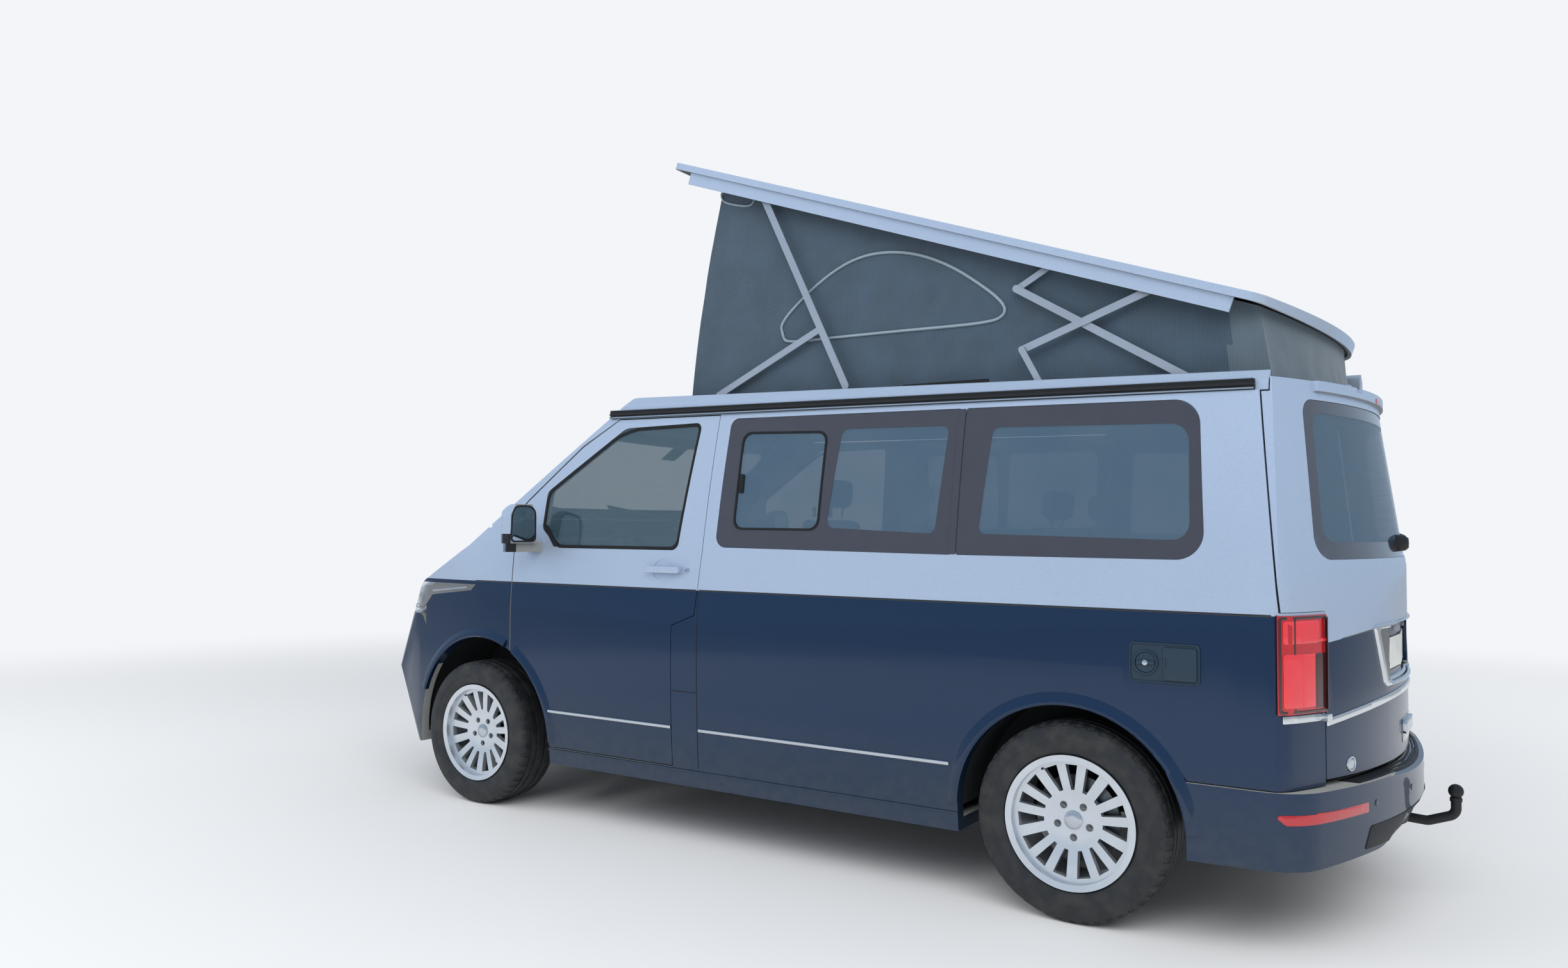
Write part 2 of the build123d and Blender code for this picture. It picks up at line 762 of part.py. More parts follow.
def roof_frame():
    """Roof ring in four members round the hatch: header, two side rails and rear plate."""
    slope = tan(radians(SHELL_SLOPE))
    top = frame_top(0)
    floor = top - CHANNEL_DEPTH
    half = [
        (0, floor, 0),
        (SHOULDER_IN, floor, 0),
        (SHOULDER_IN, top, 0),
        (SHOULDER_IN + 14, top, 8),
        (834, top - 34, 20),
        (840, top - 76, 0),
        (786, top - 84, 0),
        (770, floor - ROOF_PLATE, 0),
        (0, floor - ROOF_PLATE, 0),
    ]
    section = outline(half)
    section = section + mirror(section, about=Plane.YZ)
    rails = along(section, -2330, 900, slope, -2330 * slope)
    brow_x, brow_z = 575, frame_top(575)
    nose_rows = [
        (-2400, 1200, 0),
        (1200, 1200, 0),
        (1200, brow_z - (1200 - brow_x) * BROW_FALL, 0),
        (brow_x, brow_z, 150),
        (-2400, frame_top(-2400) + 0.5, 0),
    ]
    rails = rails & across(outline(nose_rows), -1200, 1200) & screen_solid(0) & tail_trim()
    below = box(-2800, 2800, 778, 1200, 1500, 2300) - above_roof_line(-SEAT)
    rails = rails - below - mirrored(below)
    band_rows = [(-2600, 1500, 0), (900, 1500, 0), (900, frame_top(900) - 74, 0), (-2600, frame_top(-2600) - 74, 0)]
    band = (SKIN & ABOVE_ROOF) & across(outline(band_rows), -1200, 1200)
    band = band & box(-2000, 900, -840, 840, 1700, 2000)
    cut = upward(
        outline(
            [
                (HATCH_REAR_X, -HATCH_HALF, HATCH_CORNER),
                (HATCH_FRONT_X, -HATCH_HALF, HATCH_CORNER),
                (HATCH_FRONT_X, HATCH_HALF, HATCH_CORNER),
                (HATCH_REAR_X, HATCH_HALF, HATCH_CORNER),
            ]
        ),
        1700,
        2100,
    )
    x0, x1, y0, y1 = FOOT_SLOT
    slots = box(x0, x1, y0, y1, 1780, 1880) + box(x0, x1, -y1, -y0, 1780, 1880)
    seams = box(HATCH_FRONT_X, HATCH_FRONT_X + SEAT, -1000, 1000, 1500, 2300)
    seams = seams + box(HATCH_REAR_X - SEAT, HATCH_REAR_X, -1000, 1000, 1500, 2300)
    return (rails + band) - cut - slots - seams


def tail_trim():
    """Everything ahead of the roof frame's rear edge."""
    bowed = upward(bow_face(TAILGATE_HINGE_X + GAP, TAIL_R, 1190, 0, 3200, -1), 0, 2400)
    return bowed + box(LIP_CORNER_X, 3000, -1200, 1200, 0, 2400)


def roof_pins():
    """Ear plates and pins on the roof frame for the links that it carries."""
    parts = []
    floor = frame_top(0) - CHANNEL_DEPTH
    for name in ("front_short_arms", "rear_body_arms", "rear_body_links"):
        layer, (x, z), _, _ = LINKS[name]
        low = floor + x * tan(radians(SHELL_SLOPE)) - 4
        y0 = LAYER_Y[layer]
        if layer == "body_link":
            plate_y = OUTER_EAR_Y
            pin = disc(x, z, PIN_R, y0, plate_y[1])
        else:
            plate_y = EAR_Y
            pin = disc(x, z, PIN_R, plate_y[0], y0 + BAR_THICK)
        face = outline([(x - 24, low, 0), (x + 24, low, 0), (x + 10, z + 12, 6), (x - 10, z + 12, 6)])
        ear = across(face, *plate_y) + pin
        parts.append(ear)
    return parts


def shell_closed():
    """Closed shell: crowned skin with a lip, and the inner skirt that drops into the channel."""
    crown_r = (SHELL_HALF ** 2 + SHELL_CROWN ** 2) / (2 * SHELL_CROWN)
    plan = shell_outline(0, 0)
    block = upward(plan, -SHELL_LIP, SHELL_CROWN)
    crown = Pos(-900, 0, SHELL_CROWN - crown_r) * Rot(0, 90, 0) * Cylinder(crown_r, 5000)
    block = block & crown
    block = block - upward(shell_outline(14, 14), -SHELL_LIP - 1, -SHELL_SKIN + SHELL_CROWN)
    skirt = upward(shell_outline(SHELL_HALF - SKIRT_OUT, 60), -SKIRT_DEPTH, -SHELL_SKIN + SHELL_CROWN + 1)
    skirt = skirt - upward(shell_outline(SHELL_HALF - SKIRT_OUT + SKIRT_THICK, 60 + SKIRT_THICK), -SKIRT_DEPTH - 1, 2)
    skirt = skirt & box(-2050, 400, -1000, 1000, -100, 10)
    return to_closed(block + skirt)


def shell_pins():
    """Pins that the open shell carries for its links, from the skirt or from an inner ear."""
    parts = []
    for name in ("front_long_arms", "rear_roof_arms", "rear_roof_links"):
        layer, (x, z), _, _ = LINKS[name]
        y0 = LAYER_Y[layer]
        if layer == "roof_arm":
            parts.append(disc(x, z, PIN_R, y0, SKIRT_OUT - SKIRT_THICK + 1))
        else:
            rise = 34
            dx, dz = -rise * sin(radians(ROOF_TRAVEL)), rise * cos(radians(ROOF_TRAVEL))
            face = outline([(x - 12, z - 12, 6), (x + 12, z - 12, 6), (x + 20 + dx, z + dz, 0), (x - 20 + dx, z + dz, 0)])
            parts.append(across(face, *EAR_Y) + disc(x, z, PIN_R, EAR_Y[0], y0 + BAR_THICK))
    return parts


def roof_shell():
    """Pop-up roof shell in its open pose, with the pins for its links."""
    shell = to_open(shell_closed())
    for part in shell_pins():
        shell = shell + part + mirrored(part)
    return shell


def under_edge(x):
    """Height just under the closed shell's skin at a station."""
    return SHELL_EDGE_Z + SHELL_CROWN - SHELL_SKIN - SEAT + (x - SHELL_FRONT_X) * tan(radians(SHELL_SLOPE))


def bellows():
    """Tent cloth between the roof frame and the open shell, as a thin closed wall."""
    slope = tan(radians(SHELL_SLOPE))
    floor = frame_top(0) - CHANNEL_DEPTH + SEAT

    def wall(inset, spread):
        top_front = swing(258 - inset, under_edge(258), ROOF_TRAVEL)
        top_rear = swing(-2286 + inset, under_edge(-2286), ROOF_TRAVEL)
        low_front = (330 - inset, floor + 330 * slope)
        low_rear = (-2286 + inset, floor - 2286 * slope)
        up = Vector(top_front[0] - top_rear[0], top_front[1] - top_rear[1]).normalized()
        lift = Vector(-up.Y, up.X) * spread
        tf = (top_front[0] + lift.X, top_front[1] + lift.Y)
        tr = (top_rear[0] + lift.X, top_rear[1] + lift.Y)
        lf = (low_front[0], low_front[1] - spread)
        lr = (low_rear[0], low_rear[1] - spread)
        face = make_face(
            [
                ThreePointArc(lf, (232 - inset, 2450), tf),
                Line(tf, tr),
                Line(tr, lr),
                Line(lr, lf),
            ]
        )
        foot = FABRIC_REAR_X + FABRIC_LEAN * (1700 - FABRIC_FOOT_Z) + inset
        rear = bow_face(foot, FABRIC_REAR_R, FABRIC_HALF - inset, 0, 900, -1)
        return across(face, -900, 900) & upward(rear, 1700, 3200, FABRIC_LEAN)

    return wall(0, 0) - wall(FABRIC_THICK, 60)


# Tyre section from the bead to the tread's edge: radius, and how far inside the tyre's face
TYRE_ROWS = [(RIM_R, 18), (262, 1.5), (322, 6), (TYRE_R, 36)]


def tyre(x, y):
    """Tyre turned about its axle, with flat walls between bead, side wall, shoulder and tread."""
    half = TYRE_W / 2
    rows = [(radius, inside - half, 0) for radius, inside in TYRE_ROWS]
    rows += [(radius, half - inside, 0) for radius, inside in reversed(TYRE_ROWS)]
    ring = revolve(Plane.XY * outline(rows), Axis.Y)
    return Pos(x, y, TYRE_R) * ring


# Spokes of one fifth of the wheel: angle in degrees, half width at the rim in mm
SPOKES = [(-11, 17), (11, 17), (36, 20)]


def spoke_edge(angle, half_width, radius):
    """Point on a spoke's edge, in the wheel's face; the sign of the width picks the edge."""
    width = half_width * (0.7 + 0.3 * radius / RIM_R)
    turn = radians(angle) + width / radius
    return (radius * sin(turn), radius * cos(turn))


def rim(x, y, side):
    """Alloy wheel in one turned piece, with windows between its spokes and five bolt holes."""
    half = TYRE_W / 2
    rows = [
        (RIM_R - SEAT, 20 - half, 0),
        (RIM_R - SEAT, half - 17, 0),
        (RIM_FLANGE_R - 3, half - 9, 0),
        (RIM_FLANGE_R - 3, half - 5, 0),
        (RIM_R - 12, half - 9, 0),
        (RIM_R - 13, HUB_FACE + 22, 0),
        (150, HUB_FACE + 14, 0),
        (74, HUB_FACE, 0),
        (0, HUB_FACE, 0),
        (0, HUB_FACE - 32, 0),
        (78, HUB_FACE - 32, 0),
        (150, HUB_FACE - 10, 0),
        (RIM_R - 14, HUB_FACE - 2, 0),
        (RIM_R - 16, 20 - half, 0),
    ]
    wheel = revolve(Plane.XY * outline(rows), Axis.Y)
    spokes = [(angle + 72 * i, width) for i in range(BOLT_COUNT) for angle, width in SPOKES]
    spokes.append((spokes[0][0] + 360, spokes[0][1]))
    cuts = []
    low, high = 105, RIM_R - 26
    for (a0, w0), (a1, w1) in zip(spokes, spokes[1:]):
        points = [
            spoke_edge(a0, w0, low),
            spoke_edge(a0, w0, high),
            spoke_edge(a1, -w1, high),
            spoke_edge(a1, -w1, low),
        ]
        cuts.append(across(outline([(u, v, 0) for u, v in points]), HUB_FACE - 60, HUB_FACE + 60))
    for i in range(BOLT_COUNT):
        a = radians(72 * i + 36)
        r = BOLT_CIRCLE / 2
        cuts.append(disc(r * sin(a), r * cos(a), BOLT_HOLE_R, HUB_FACE - 60, HUB_FACE + 30))
    wheel = wheel - cuts
    wheel = wheel if side > 0 else mirrored(wheel)
    return Pos(x, y, TYRE_R) * wheel


def knuckle():
    """Left front knuckle: upright with its hub stub, brake disc and caliper."""
    y = TRACK / 2
    disc_rotor = disc(WHEELBASE / 2, TYRE_R, 150, y + HUB_FACE - 32 - 34, y + HUB_FACE - 32 - 10)
    hub = disc(WHEELBASE / 2, TYRE_R, 70, y + HUB_FACE - 32 - 36, y + HUB_FACE - 32 - SEAT)
    stub = disc(WHEELBASE / 2, TYRE_R, 42, KINGPIN_Y + 10, y + HUB_FACE - 60)
    upright = box(WHEELBASE / 2 - 38, WHEELBASE / 2 + 38, KINGPIN_Y - 22, KINGPIN_Y + 24, TYRE_R - 110, TYRE_R + 110)
    upright = fillet(upright.edges().filter_by(Axis.Z), 14)
    caliper = disc(WHEELBASE / 2, TYRE_R, 168, y + HUB_FACE - 84, y + HUB_FACE - 42) - disc(WHEELBASE / 2, TYRE_R, 105, 0, 1000)
    caliper = caliper & box(WHEELBASE / 2 - 170, WHEELBASE / 2 - 80, 0, 1000, TYRE_R - 70, TYRE_R + 70)
    bracket = box(WHEELBASE / 2 - 110, WHEELBASE / 2, KINGPIN_Y + 4, y + HUB_FACE - 78, TYRE_R - 30, TYRE_R + 30)
    return disc_rotor + hub + stub + upright + caliper + bracket


def front_subframe():
    """Cross-member, wishbones, ball joints and dampers beside the knuckles."""
    x = WHEELBASE / 2
    cross = box(x - 140, x + 140, -330, 330, 250, 320)
    lower = outline([(x - 170, 300, 0), (x + 120, 300, 0), (x + 30, KINGPIN_Y + 10, 16), (x - 30, KINGPIN_Y + 10, 16)])
    lower = upward(lower, 196, 224)
    drop = box(x - 130, x + 100, 290, 330, 196, 260)
    ball = Pos(x, KINGPIN_Y, 0) * Pos(0, 0, (210 + 235 - SEAT) / 2) * Cylinder(15, 25 - SEAT)
    damper = Pos(x, 560, (210 + 700) / 2) * Cylinder(16, 490) + Pos(x, 560, 640) * Cylinder(34, 340)
    side = lower + drop + ball + damper
    house_in = FRONT_HOUSE_Y + SEAT
    upper = outline([(x - 90, house_in, 0), (x + 90, house_in, 0), (x + 28, KINGPIN_Y + 10, 16), (x - 28, KINGPIN_Y + 10, 16)])
    top_ball = Pos(x, KINGPIN_Y, (455 + SEAT + 480) / 2) * Cylinder(15, 25 - SEAT)
    upper = upward(upper, 472, 494) + top_ball
    upper = upper - Pos(x, 560, 480) * Cylinder(44, 80)
    return cross + side + mirrored(side), upper, mirrored(upper)


def rear_axle():
    """Twist beam, trailing arms, hubs and brake discs of the rear wheels."""
    x = -WHEELBASE / 2
    y = TRACK / 2
    arm_y = (648, 688)
    beam = box(x + 300, x + 384, -arm_y[1], arm_y[1], 268, FLOOR_Z - SEAT)
    rows = [(x - 55, 292, 24), (x + 384, 268, 0), (x + 384, 335, 0), (x + 300, 335, 0), (x - 55, 402, 24)]
    arm = across(outline(rows), *arm_y)
    stub = disc(x, TYRE_R, 45, arm_y[0], y + HUB_FACE - 60)
    rotor = disc(x, TYRE_R, 150, y + HUB_FACE - 66, y + HUB_FACE - 44)
    hub = disc(x, TYRE_R, 68, y + HUB_FACE - 68, y + HUB_FACE - 32 - SEAT)
    side = arm + stub + rotor + hub
    return beam + side + mirrored(side)


def floor_pan():
    """Floor with its sills, rear wheel houses, front wheel houses and bulkhead."""
    inner = envelope(WALL + GAP + 4)
    close = envelope(WALL + SEAT)
    slab = inner & box(-2360, 960, -1000, 1000, FLOOR_Z, FLOOR_Z + FLOOR_THICK)
    slab = slab + (close & box(-1900, 60, -1000, 1000, FLOOR_Z, FLOOR_Z + FLOOR_THICK))
    bulkhead = outline([(940, FLOOR_Z, 0), (1000, FLOOR_Z, 0), (1260, 800, 0), (1320, 1330, 0), (1296, 1330, 0), (1236, 800, 0)])
    bulkhead = across(bulkhead, -860, 860) & inner
    pan = slab + bulkhead
    for side in (1, -1):
        house = disc(REAR_ARCH_X, ARCH_Z, REAR_ARCH_R + 22, REAR_HOUSE_Y - 14, 1000) & close
        house = house & box(-2200, -900, 0, 1000, FLOOR_Z, 1200)
        hole = disc(REAR_ARCH_X, ARCH_Z, REAR_ARCH_R + 8, REAR_HOUSE_Y, 1100)
        hole = hole + box(REAR_ARCH_X - REAR_ARCH_R - 8, REAR_ARCH_X + REAR_ARCH_R + 8, REAR_HOUSE_Y, 1100, 0, ARCH_Z)
        front_hole = disc(FRONT_HOUSE_X, ARCH_Z, FRONT_HOUSE_R, FRONT_HOUSE_Y, 1100)
        front_house = disc(FRONT_HOUSE_X, ARCH_Z, FRONT_HOUSE_R + 14, FRONT_HOUSE_Y - 14, 1000) & inner
        front_house = front_house & box(900, 2100, 0, 1000, FLOOR_Z, 1000)
        front_house = front_house & nose_solid(WALL + 20)
        if side < 0:
            house, hole, front_hole, front_house = [mirrored(s) for s in (house, hole, front_hole, front_house)]
        pan = (pan + house + front_house) - hole - front_hole
        low, high = sorted((side * 320, side * 380))
        pan = pan + box(-2416.2, -2330, low, high, FLOOR_Z + 4, FLOOR_Z + FLOOR_THICK - 4)
    return pan


def rear_bumper():
    """Rear bumper that wraps both corners back to the arches, with a step pad on top."""
    half = BODY_WIDTH / 2 + 2

    def shape(inset, z0, z1):
        return upward(bow_face(REAR_X + inset, TAIL_R, half - inset, 190 - inset, 3200, -1), z0, z1)

    body = shape(0, 250, BUMPER_TOP_Z) - shape(40, 200, BUMPER_TOP_Z - 30) - shape(95, 190, 600)
    rows = [
        (-1830, 545, 0),
        (-2420, 545, 0),
        (-2520, 512, 30),
        (-2520, 430, 30),
        (-2420, 318, 30),
        (-2250, 300, 20),
        (-1830, 290, 0),
    ]
    body = body & across(outline(rows), -1200, 1200)
    house = disc(REAR_ARCH_X, ARCH_Z, REAR_ARCH_R + 24, 0, 908)
    cut = arch_cut(REAR_ARCH_X, REAR_ARCH_R, 0) + house
    return body - cut - mirrored(cut)


def tow_bar():
    """Swan neck and ball under the rear bumper."""
    x = REAR_X - BALL_REACH + BALL_RADIUS
    ball_z = 425
    neck = FilletPolyline([(x, 0, ball_z - 20), (x, 0, 342), (x + 90, 0, 308), (x + 300, 0, 320)], radius=34)
    stem = sweep(Plane(origin=neck @ 0, z_dir=neck % 0) * Circle(17), path=neck)
    ball = Pos(x, 0, ball_z) * Sphere(BALL_RADIUS)
    collar = Pos(x, 0, ball_z - 30) * Cylinder(20, 12)
    mount = box(x + 270, x + 330, -60, 60, 300, FLOOR_Z - SEAT)
    beam = box(x + 310, x + 380, -560, 560, 290, FLOOR_Z - SEAT)
    return ball + stem + collar + mount + beam


def roof_rails():
    """Grooved rails along both roof edges."""
    rows = [(0, 0, 2), (16, 0, 2), (16, 8, 0), (10, 8, 0), (10, 14, 0), (16, 14, 0), (16, 22, 0), (10, 22, 0), (10, 28, 0), (14, 34, 2), (0, 36, 2)]
    section = Pos(RAIL_Y, 0) * outline(rows)
    rail = along(section, -2104, 700, ROOF_LINE_SLOPE, roof_line(0) + 2 - 2104 * ROOF_LINE_SLOPE)
    return rail


def awning():
    """Awning box along the right roof edge."""
    rows = [(0, 0, 10), (95, 6, 24), (104, 62, 30), (60, 104, 30), (6, 96, 16)]
    x0, x1 = AWNING_X
    lift = roof_line(0) + AWNING_RISE
    case = along(Pos(864, 0) * outline(rows), x0, x1, ROOF_LINE_SLOPE, lift + x0 * ROOF_LINE_SLOPE)
    hooks = []
    for x in (-1900, -900, 100):
        foot = lift + x * ROOF_LINE_SLOPE
        hooks.append(box(x - 40, x + 40, RAIL_Y + 16 + SEAT, 868, foot - 130, foot + 70))
        hooks.append(box(x - 40, x + 40, 855, 930, foot - 8, foot + 12))
    for hook in hooks:
        case = case + hook
    return mirrored(case)


def door_mirror():
    """Left door mirror: bulged housing on a flat foot that reaches out from the door."""
    back, front = MIRROR_X
    inner, outer = MIRROR_Y
    low, high = MIRROR_Z
    plan_rows = [
        (back, inner, 0),
        (back, outer - 6, 0),
        (back + 10, outer, 0),
        (back + 50, outer, 30),
        (front, outer - 38, 30),
        (front, inner + 30, 30),
        (back + 56, inner, 30),
    ]
    side_rows = [(back, low, 0), (back, high, 0), (back + 48, high, 44), (front, high - 92, 50), (front, low, 20)]
    end_rows = [
        (inner - 9, low - 5, 0),
        (outer + 9, low - 5, 0),
        (outer + 9, high - 70, 0),
        (outer - 40, high + 5, 0),
        (inner + 30, high + 5, 0),
        (inner - 9, high - 50, 0),
    ]
    head = upward(outline(plan_rows), low, high) & across(outline(side_rows), inner - 5, outer + 5)
    head = head & along(outline(end_rows), back - 5, front + 5)
    foot_rows = [
        (back + 19, 900, 0),
        (front + 17, 900, 0),
        (front + 19, outer - 68, 24),
        (back + 55, outer - 28, 24),
        (back + 17, outer - 48, 16),
    ]
    foot = upward(outline(foot_rows), low - MIRROR_FOOT, low + 6)
    return head + (foot - OUTER)


def seat(x, y, z):
    """Front seat: cushion, back and head rest on a plinth."""
    plinth = box(x - 200, x + 200, y - 190, y + 190, FLOOR_Z + FLOOR_THICK + SEAT, z)
    cushion = across(outline([(x - 240, z, 20), (x + 270, z, 30), (x + 280, z + 150, 50), (x - 200, z + 110, 30)]), y - 250, y + 250)
    back = across(outline([(x - 260, z + 90, 20), (x - 130, z + 100, 30), (x - 250, z + 690, 50), (x - 380, z + 680, 50)]), y - 240, y + 240)
    head = across(outline([(x - 360, z + 640, 10), (x - 262, z + 640, 10), (x - 290, z + 880, 40), (x - 390, z + 870, 40)]), y - 130, y + 130)
    return plinth + cushion + back + head


def bench():
    """Rear bench seat."""
    z = FLOOR_Z + FLOOR_THICK + SEAT
    base = across(outline([(-1180, z, 0), (-620, z, 0), (-620, 720, 20), (-1180, 720, 20)]), -560, 560)
    cushion = across(outline([(-1180, 715, 10), (-560, 715, 30), (-560, 850, 40), (-1180, 830, 10)]), -560, 560)
    back = across(outline([(-1200, 760, 20), (-1080, 760, 20), (-1170, 1400, 50), (-1290, 1390, 50)]), -560, 560)
    return base + cushion + back


def kitchen():
    """Kitchen unit along the left wall."""
    z = FLOOR_Z + FLOOR_THICK + SEAT
    unit = box(-950, -40, 620, 862, z, 1235)
    return unit & envelope(WALL + 6)


def dashboard():
    """Dashboard across the cab."""
    rows = [(1040, 950, 30), (1247, 900, 0), (1292.2, 1300, 0), (1110, 1290, 60), (1000, 1150, 40)]
    board = across(outline(rows), -840, 840) & envelope(WALL + 12)
    return board - column_line(24 + SEAT, 160)


def column_line(radius, length):
    """Cylinder along the steering column, from the wheel's pivot forwards and down."""
    return Pos(*WHEEL_PIVOT) * Rot(0, -90 + WHEEL_TILT, 0) * Pos(0, 0, -length / 2) * Cylinder(radius, length)


MIRROR_X = (1033, 1133)
MIRROR_Y = (985, 1148)
MIRROR_Z = (1278, 1458)
MIRROR_FOOT = 40
WHEEL_PIVOT = (930, 400, 1150)
WHEEL_TILT = 28


def steering_wheel():
    """Steering wheel rim, spokes and column."""
    grip = RegularPolygon(16, 8)
    ring = revolve(Plane.XZ * Pos(186, 0) * grip, Axis.Z)
    hub = Cylinder(46, 40)
    spokes = Box(350, 26, 14) + Pos(0, -90, 0) * Box(40, 176, 14)
    column = Pos(0, 0, -50) * Cylinder(24, 90)
    wheel = ring + hub + spokes + column
    return Pos(*WHEEL_PIVOT) * Rot(0, -90 + WHEEL_TILT, 0) * wheel


def engine_block():
    """Engine and gearbox as one plain block."""
    return box(1570, 2060, -420, 420, 320 + SEAT, 860)


PARTS = {}


def keep(name, *shapes):
    """Store the solids of one sub-part."""
    PARTS[name] = pieces(*shapes)


def sliding_door():
    """Side door, drawn on the left: a gap all round outside and a closer flange inside."""
    door = SKIN & across(inset_rows(SLIDER_ROWS, GAP - 1), 500, 1200)
    flange = (INNER_STEP & SKIN) & across(inset_rows(SLIDER_ROWS, SEAT), 500, 1200)
    return (door + flange) - across(outline(MIDDLE_WINDOW_ROWS), 500, 1200) - ABOVE_DOORS


def build_body():
    """Fixed body pieces."""
    left = side_panel()
    keep("side_panel_left", left)
    keep("side_panel_right", mirrored(left - across(outline(SLIDER_HOLE_ROWS), 500, 1200)))
    keep("sliding_door", mirrored(sliding_door()))
    keep("roof_frame", roof_frame_with_pins())
    keep("floor_pan", floor_pan())
    front_wing = wing()
    keep("front_wings", front_wing, mirrored(front_wing))
    keep("windscreen_frame", windscreen_frame())
    keep("windscreen", windscreen())
    keep("front_bumper", front_bumper())
    keep("front_grille", grille(), lower_grille())
    lens = headlight()
    keep("headlights", lens, mirrored(lens))
    panes = [side_glass(MIDDLE_WINDOW_ROWS), side_glass(REAR_WINDOW_ROWS)]
    keep("side_windows", *panes, *[mirrored(p) for p in panes])
    lamp = tail_lamp()
    keep("tail_lights", lamp, mirrored(lamp))
    keep("rear_bumper", rear_bumper())
    keep("tow_bar", tow_bar())
    rail = roof_rails()
    keep("roof_rails", rail, mirrored(rail))
    keep("awning", awning())
    keep("dashboard", dashboard())
    keep("seats", seat(560, 430, 760), seat(560, -430, 760), bench())
    keep("kitchen_unit", kitchen())
    keep("engine_block", engine_block())
    keep("front_subframe", *front_subframe())
    keep("rear_axle", rear_axle())
    keep("roof_bellows", bellows())


def roof_frame_with_pins():
    """Roof frame joined with the ears of its links."""
    frame = roof_frame()
    for part in roof_pins():
        frame = frame + part + mirrored(part)
    for fixed, _, _ in tailgate_hinges():
        frame = frame + fixed
    return frame


def build_moving():
    """Doors, lids, roof, linkage, steering and wheels."""
    door = door_shell()
    glass = door_glass()
    for name, turn in (("left", lambda s: s), ("right", mirrored)):
        keep("door_" + name, turn(door))
        keep("door_glass_" + name, turn(glass))
        keep("mirror_" + name, turn(door_mirror()))
        keep("knuckle_" + name, turn(knuckle()))
    keep("bonnet", bonnet())
    keep("tailgate", tailgate())
    keep("tailgate_glass", tailgate_glass())
    keep("roof_shell", roof_shell())
    for name, (layer, pivot, end, width) in LINKS.items():
        keep(name, *link_pair(layer, pivot, end, width))
    keep("steering_wheel", steering_wheel())
    for corner, x, side in (
        ("front_left", WHEELBASE / 2, 1),
        ("front_right", WHEELBASE / 2, -1),
        ("rear_left", -WHEELBASE / 2, 1),
        ("rear_right", -WHEELBASE / 2, -1),
    ):
        y = side * TRACK / 2
        keep("tyre_" + corner, tyre(x, y))
        keep("rim_" + corner, rim(x, y, side))


build_body()
build_moving()
os.makedirs("parts", exist_ok=True)
for part_name, solids in PARTS.items():
    moved = [Pos(FRAME_X, 0, 0) * solid for solid in solids]
    shape = moved[0] if len(moved) == 1 else Compound(children=moved)
    export_step(shape, "parts/" + part_name + ".step")
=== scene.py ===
import json
import logging
import math
from dataclasses import dataclass
from enum import Enum
from functools import partial
from typing import Any, Callable, Sequence

import bmesh
import bpy
from mathutils import Matrix, Vector, noise
from mathutils.bvhtree import BVHTree

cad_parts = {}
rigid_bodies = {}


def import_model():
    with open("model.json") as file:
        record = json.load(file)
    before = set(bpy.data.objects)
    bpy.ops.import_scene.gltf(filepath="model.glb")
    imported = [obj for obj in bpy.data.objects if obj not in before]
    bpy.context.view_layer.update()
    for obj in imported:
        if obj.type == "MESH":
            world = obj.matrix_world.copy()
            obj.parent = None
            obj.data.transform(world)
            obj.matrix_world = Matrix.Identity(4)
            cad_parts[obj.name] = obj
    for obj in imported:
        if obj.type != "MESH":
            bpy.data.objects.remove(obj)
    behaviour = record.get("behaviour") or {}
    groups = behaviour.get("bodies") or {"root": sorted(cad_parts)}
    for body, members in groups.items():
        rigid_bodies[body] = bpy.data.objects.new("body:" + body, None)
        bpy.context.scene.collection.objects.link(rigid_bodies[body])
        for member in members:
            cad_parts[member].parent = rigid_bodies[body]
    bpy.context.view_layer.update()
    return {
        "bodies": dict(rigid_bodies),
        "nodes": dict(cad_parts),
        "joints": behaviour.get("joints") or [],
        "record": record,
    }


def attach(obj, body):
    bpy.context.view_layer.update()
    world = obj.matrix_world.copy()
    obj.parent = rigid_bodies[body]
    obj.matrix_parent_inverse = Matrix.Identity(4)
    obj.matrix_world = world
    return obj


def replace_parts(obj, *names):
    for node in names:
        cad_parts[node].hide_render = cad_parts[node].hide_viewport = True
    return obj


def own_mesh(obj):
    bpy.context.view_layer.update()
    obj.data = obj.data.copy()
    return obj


# Camper van with its roof raised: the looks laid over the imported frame.
# Sizes are written in millimetres at stations of the CAD part (X forwards from the middle
# of the wheelbase, Y to the van's left, Z up from the ground) and turned to metres once.

LOG = logging.getLogger("camper")
MM = 0.001
STATION_SHIFT = 109.0
UP = Vector((0, 0, 1))
ASIDE = Vector((0, 1, 0))
Mesh = bmesh.types.BMesh
Item = bpy.types.Object
Row = tuple[float, float, float]
Point2 = tuple[float, float]
Bodies = tuple[str, str]
Point3 = tuple[float, float, float]


def place(x: float, y: float, z: float) -> Vector:
    """Turn a station point in millimetres to the frame's metres.

    Args:
        x: Station forwards.
        y: Distance to the van's left.
        z: Height above the ground.

    Returns:
        The point in the frame, in metres.
    """
    return Vector(((x + STATION_SHIFT) * MM, y * MM, z * MM))


def linear(code: str) -> tuple[float, float, float, float]:
    """Turn an sRGB hex colour to the linear colour that a node takes.

    Args:
        code: Six hex digits, with or without a leading hash.

    Returns:
        Linear red, green, blue and an alpha of 1.
    """
    digits = code.lstrip("#")
    parts = [int(digits[i:i + 2], 16) / 255 for i in (0, 2, 4)]
    shown = [c / 12.92 if c <= 0.04045 else ((c + 0.055) / 1.055) ** 2.4 for c in parts]
    return (shown[0], shown[1], shown[2], 1.0)


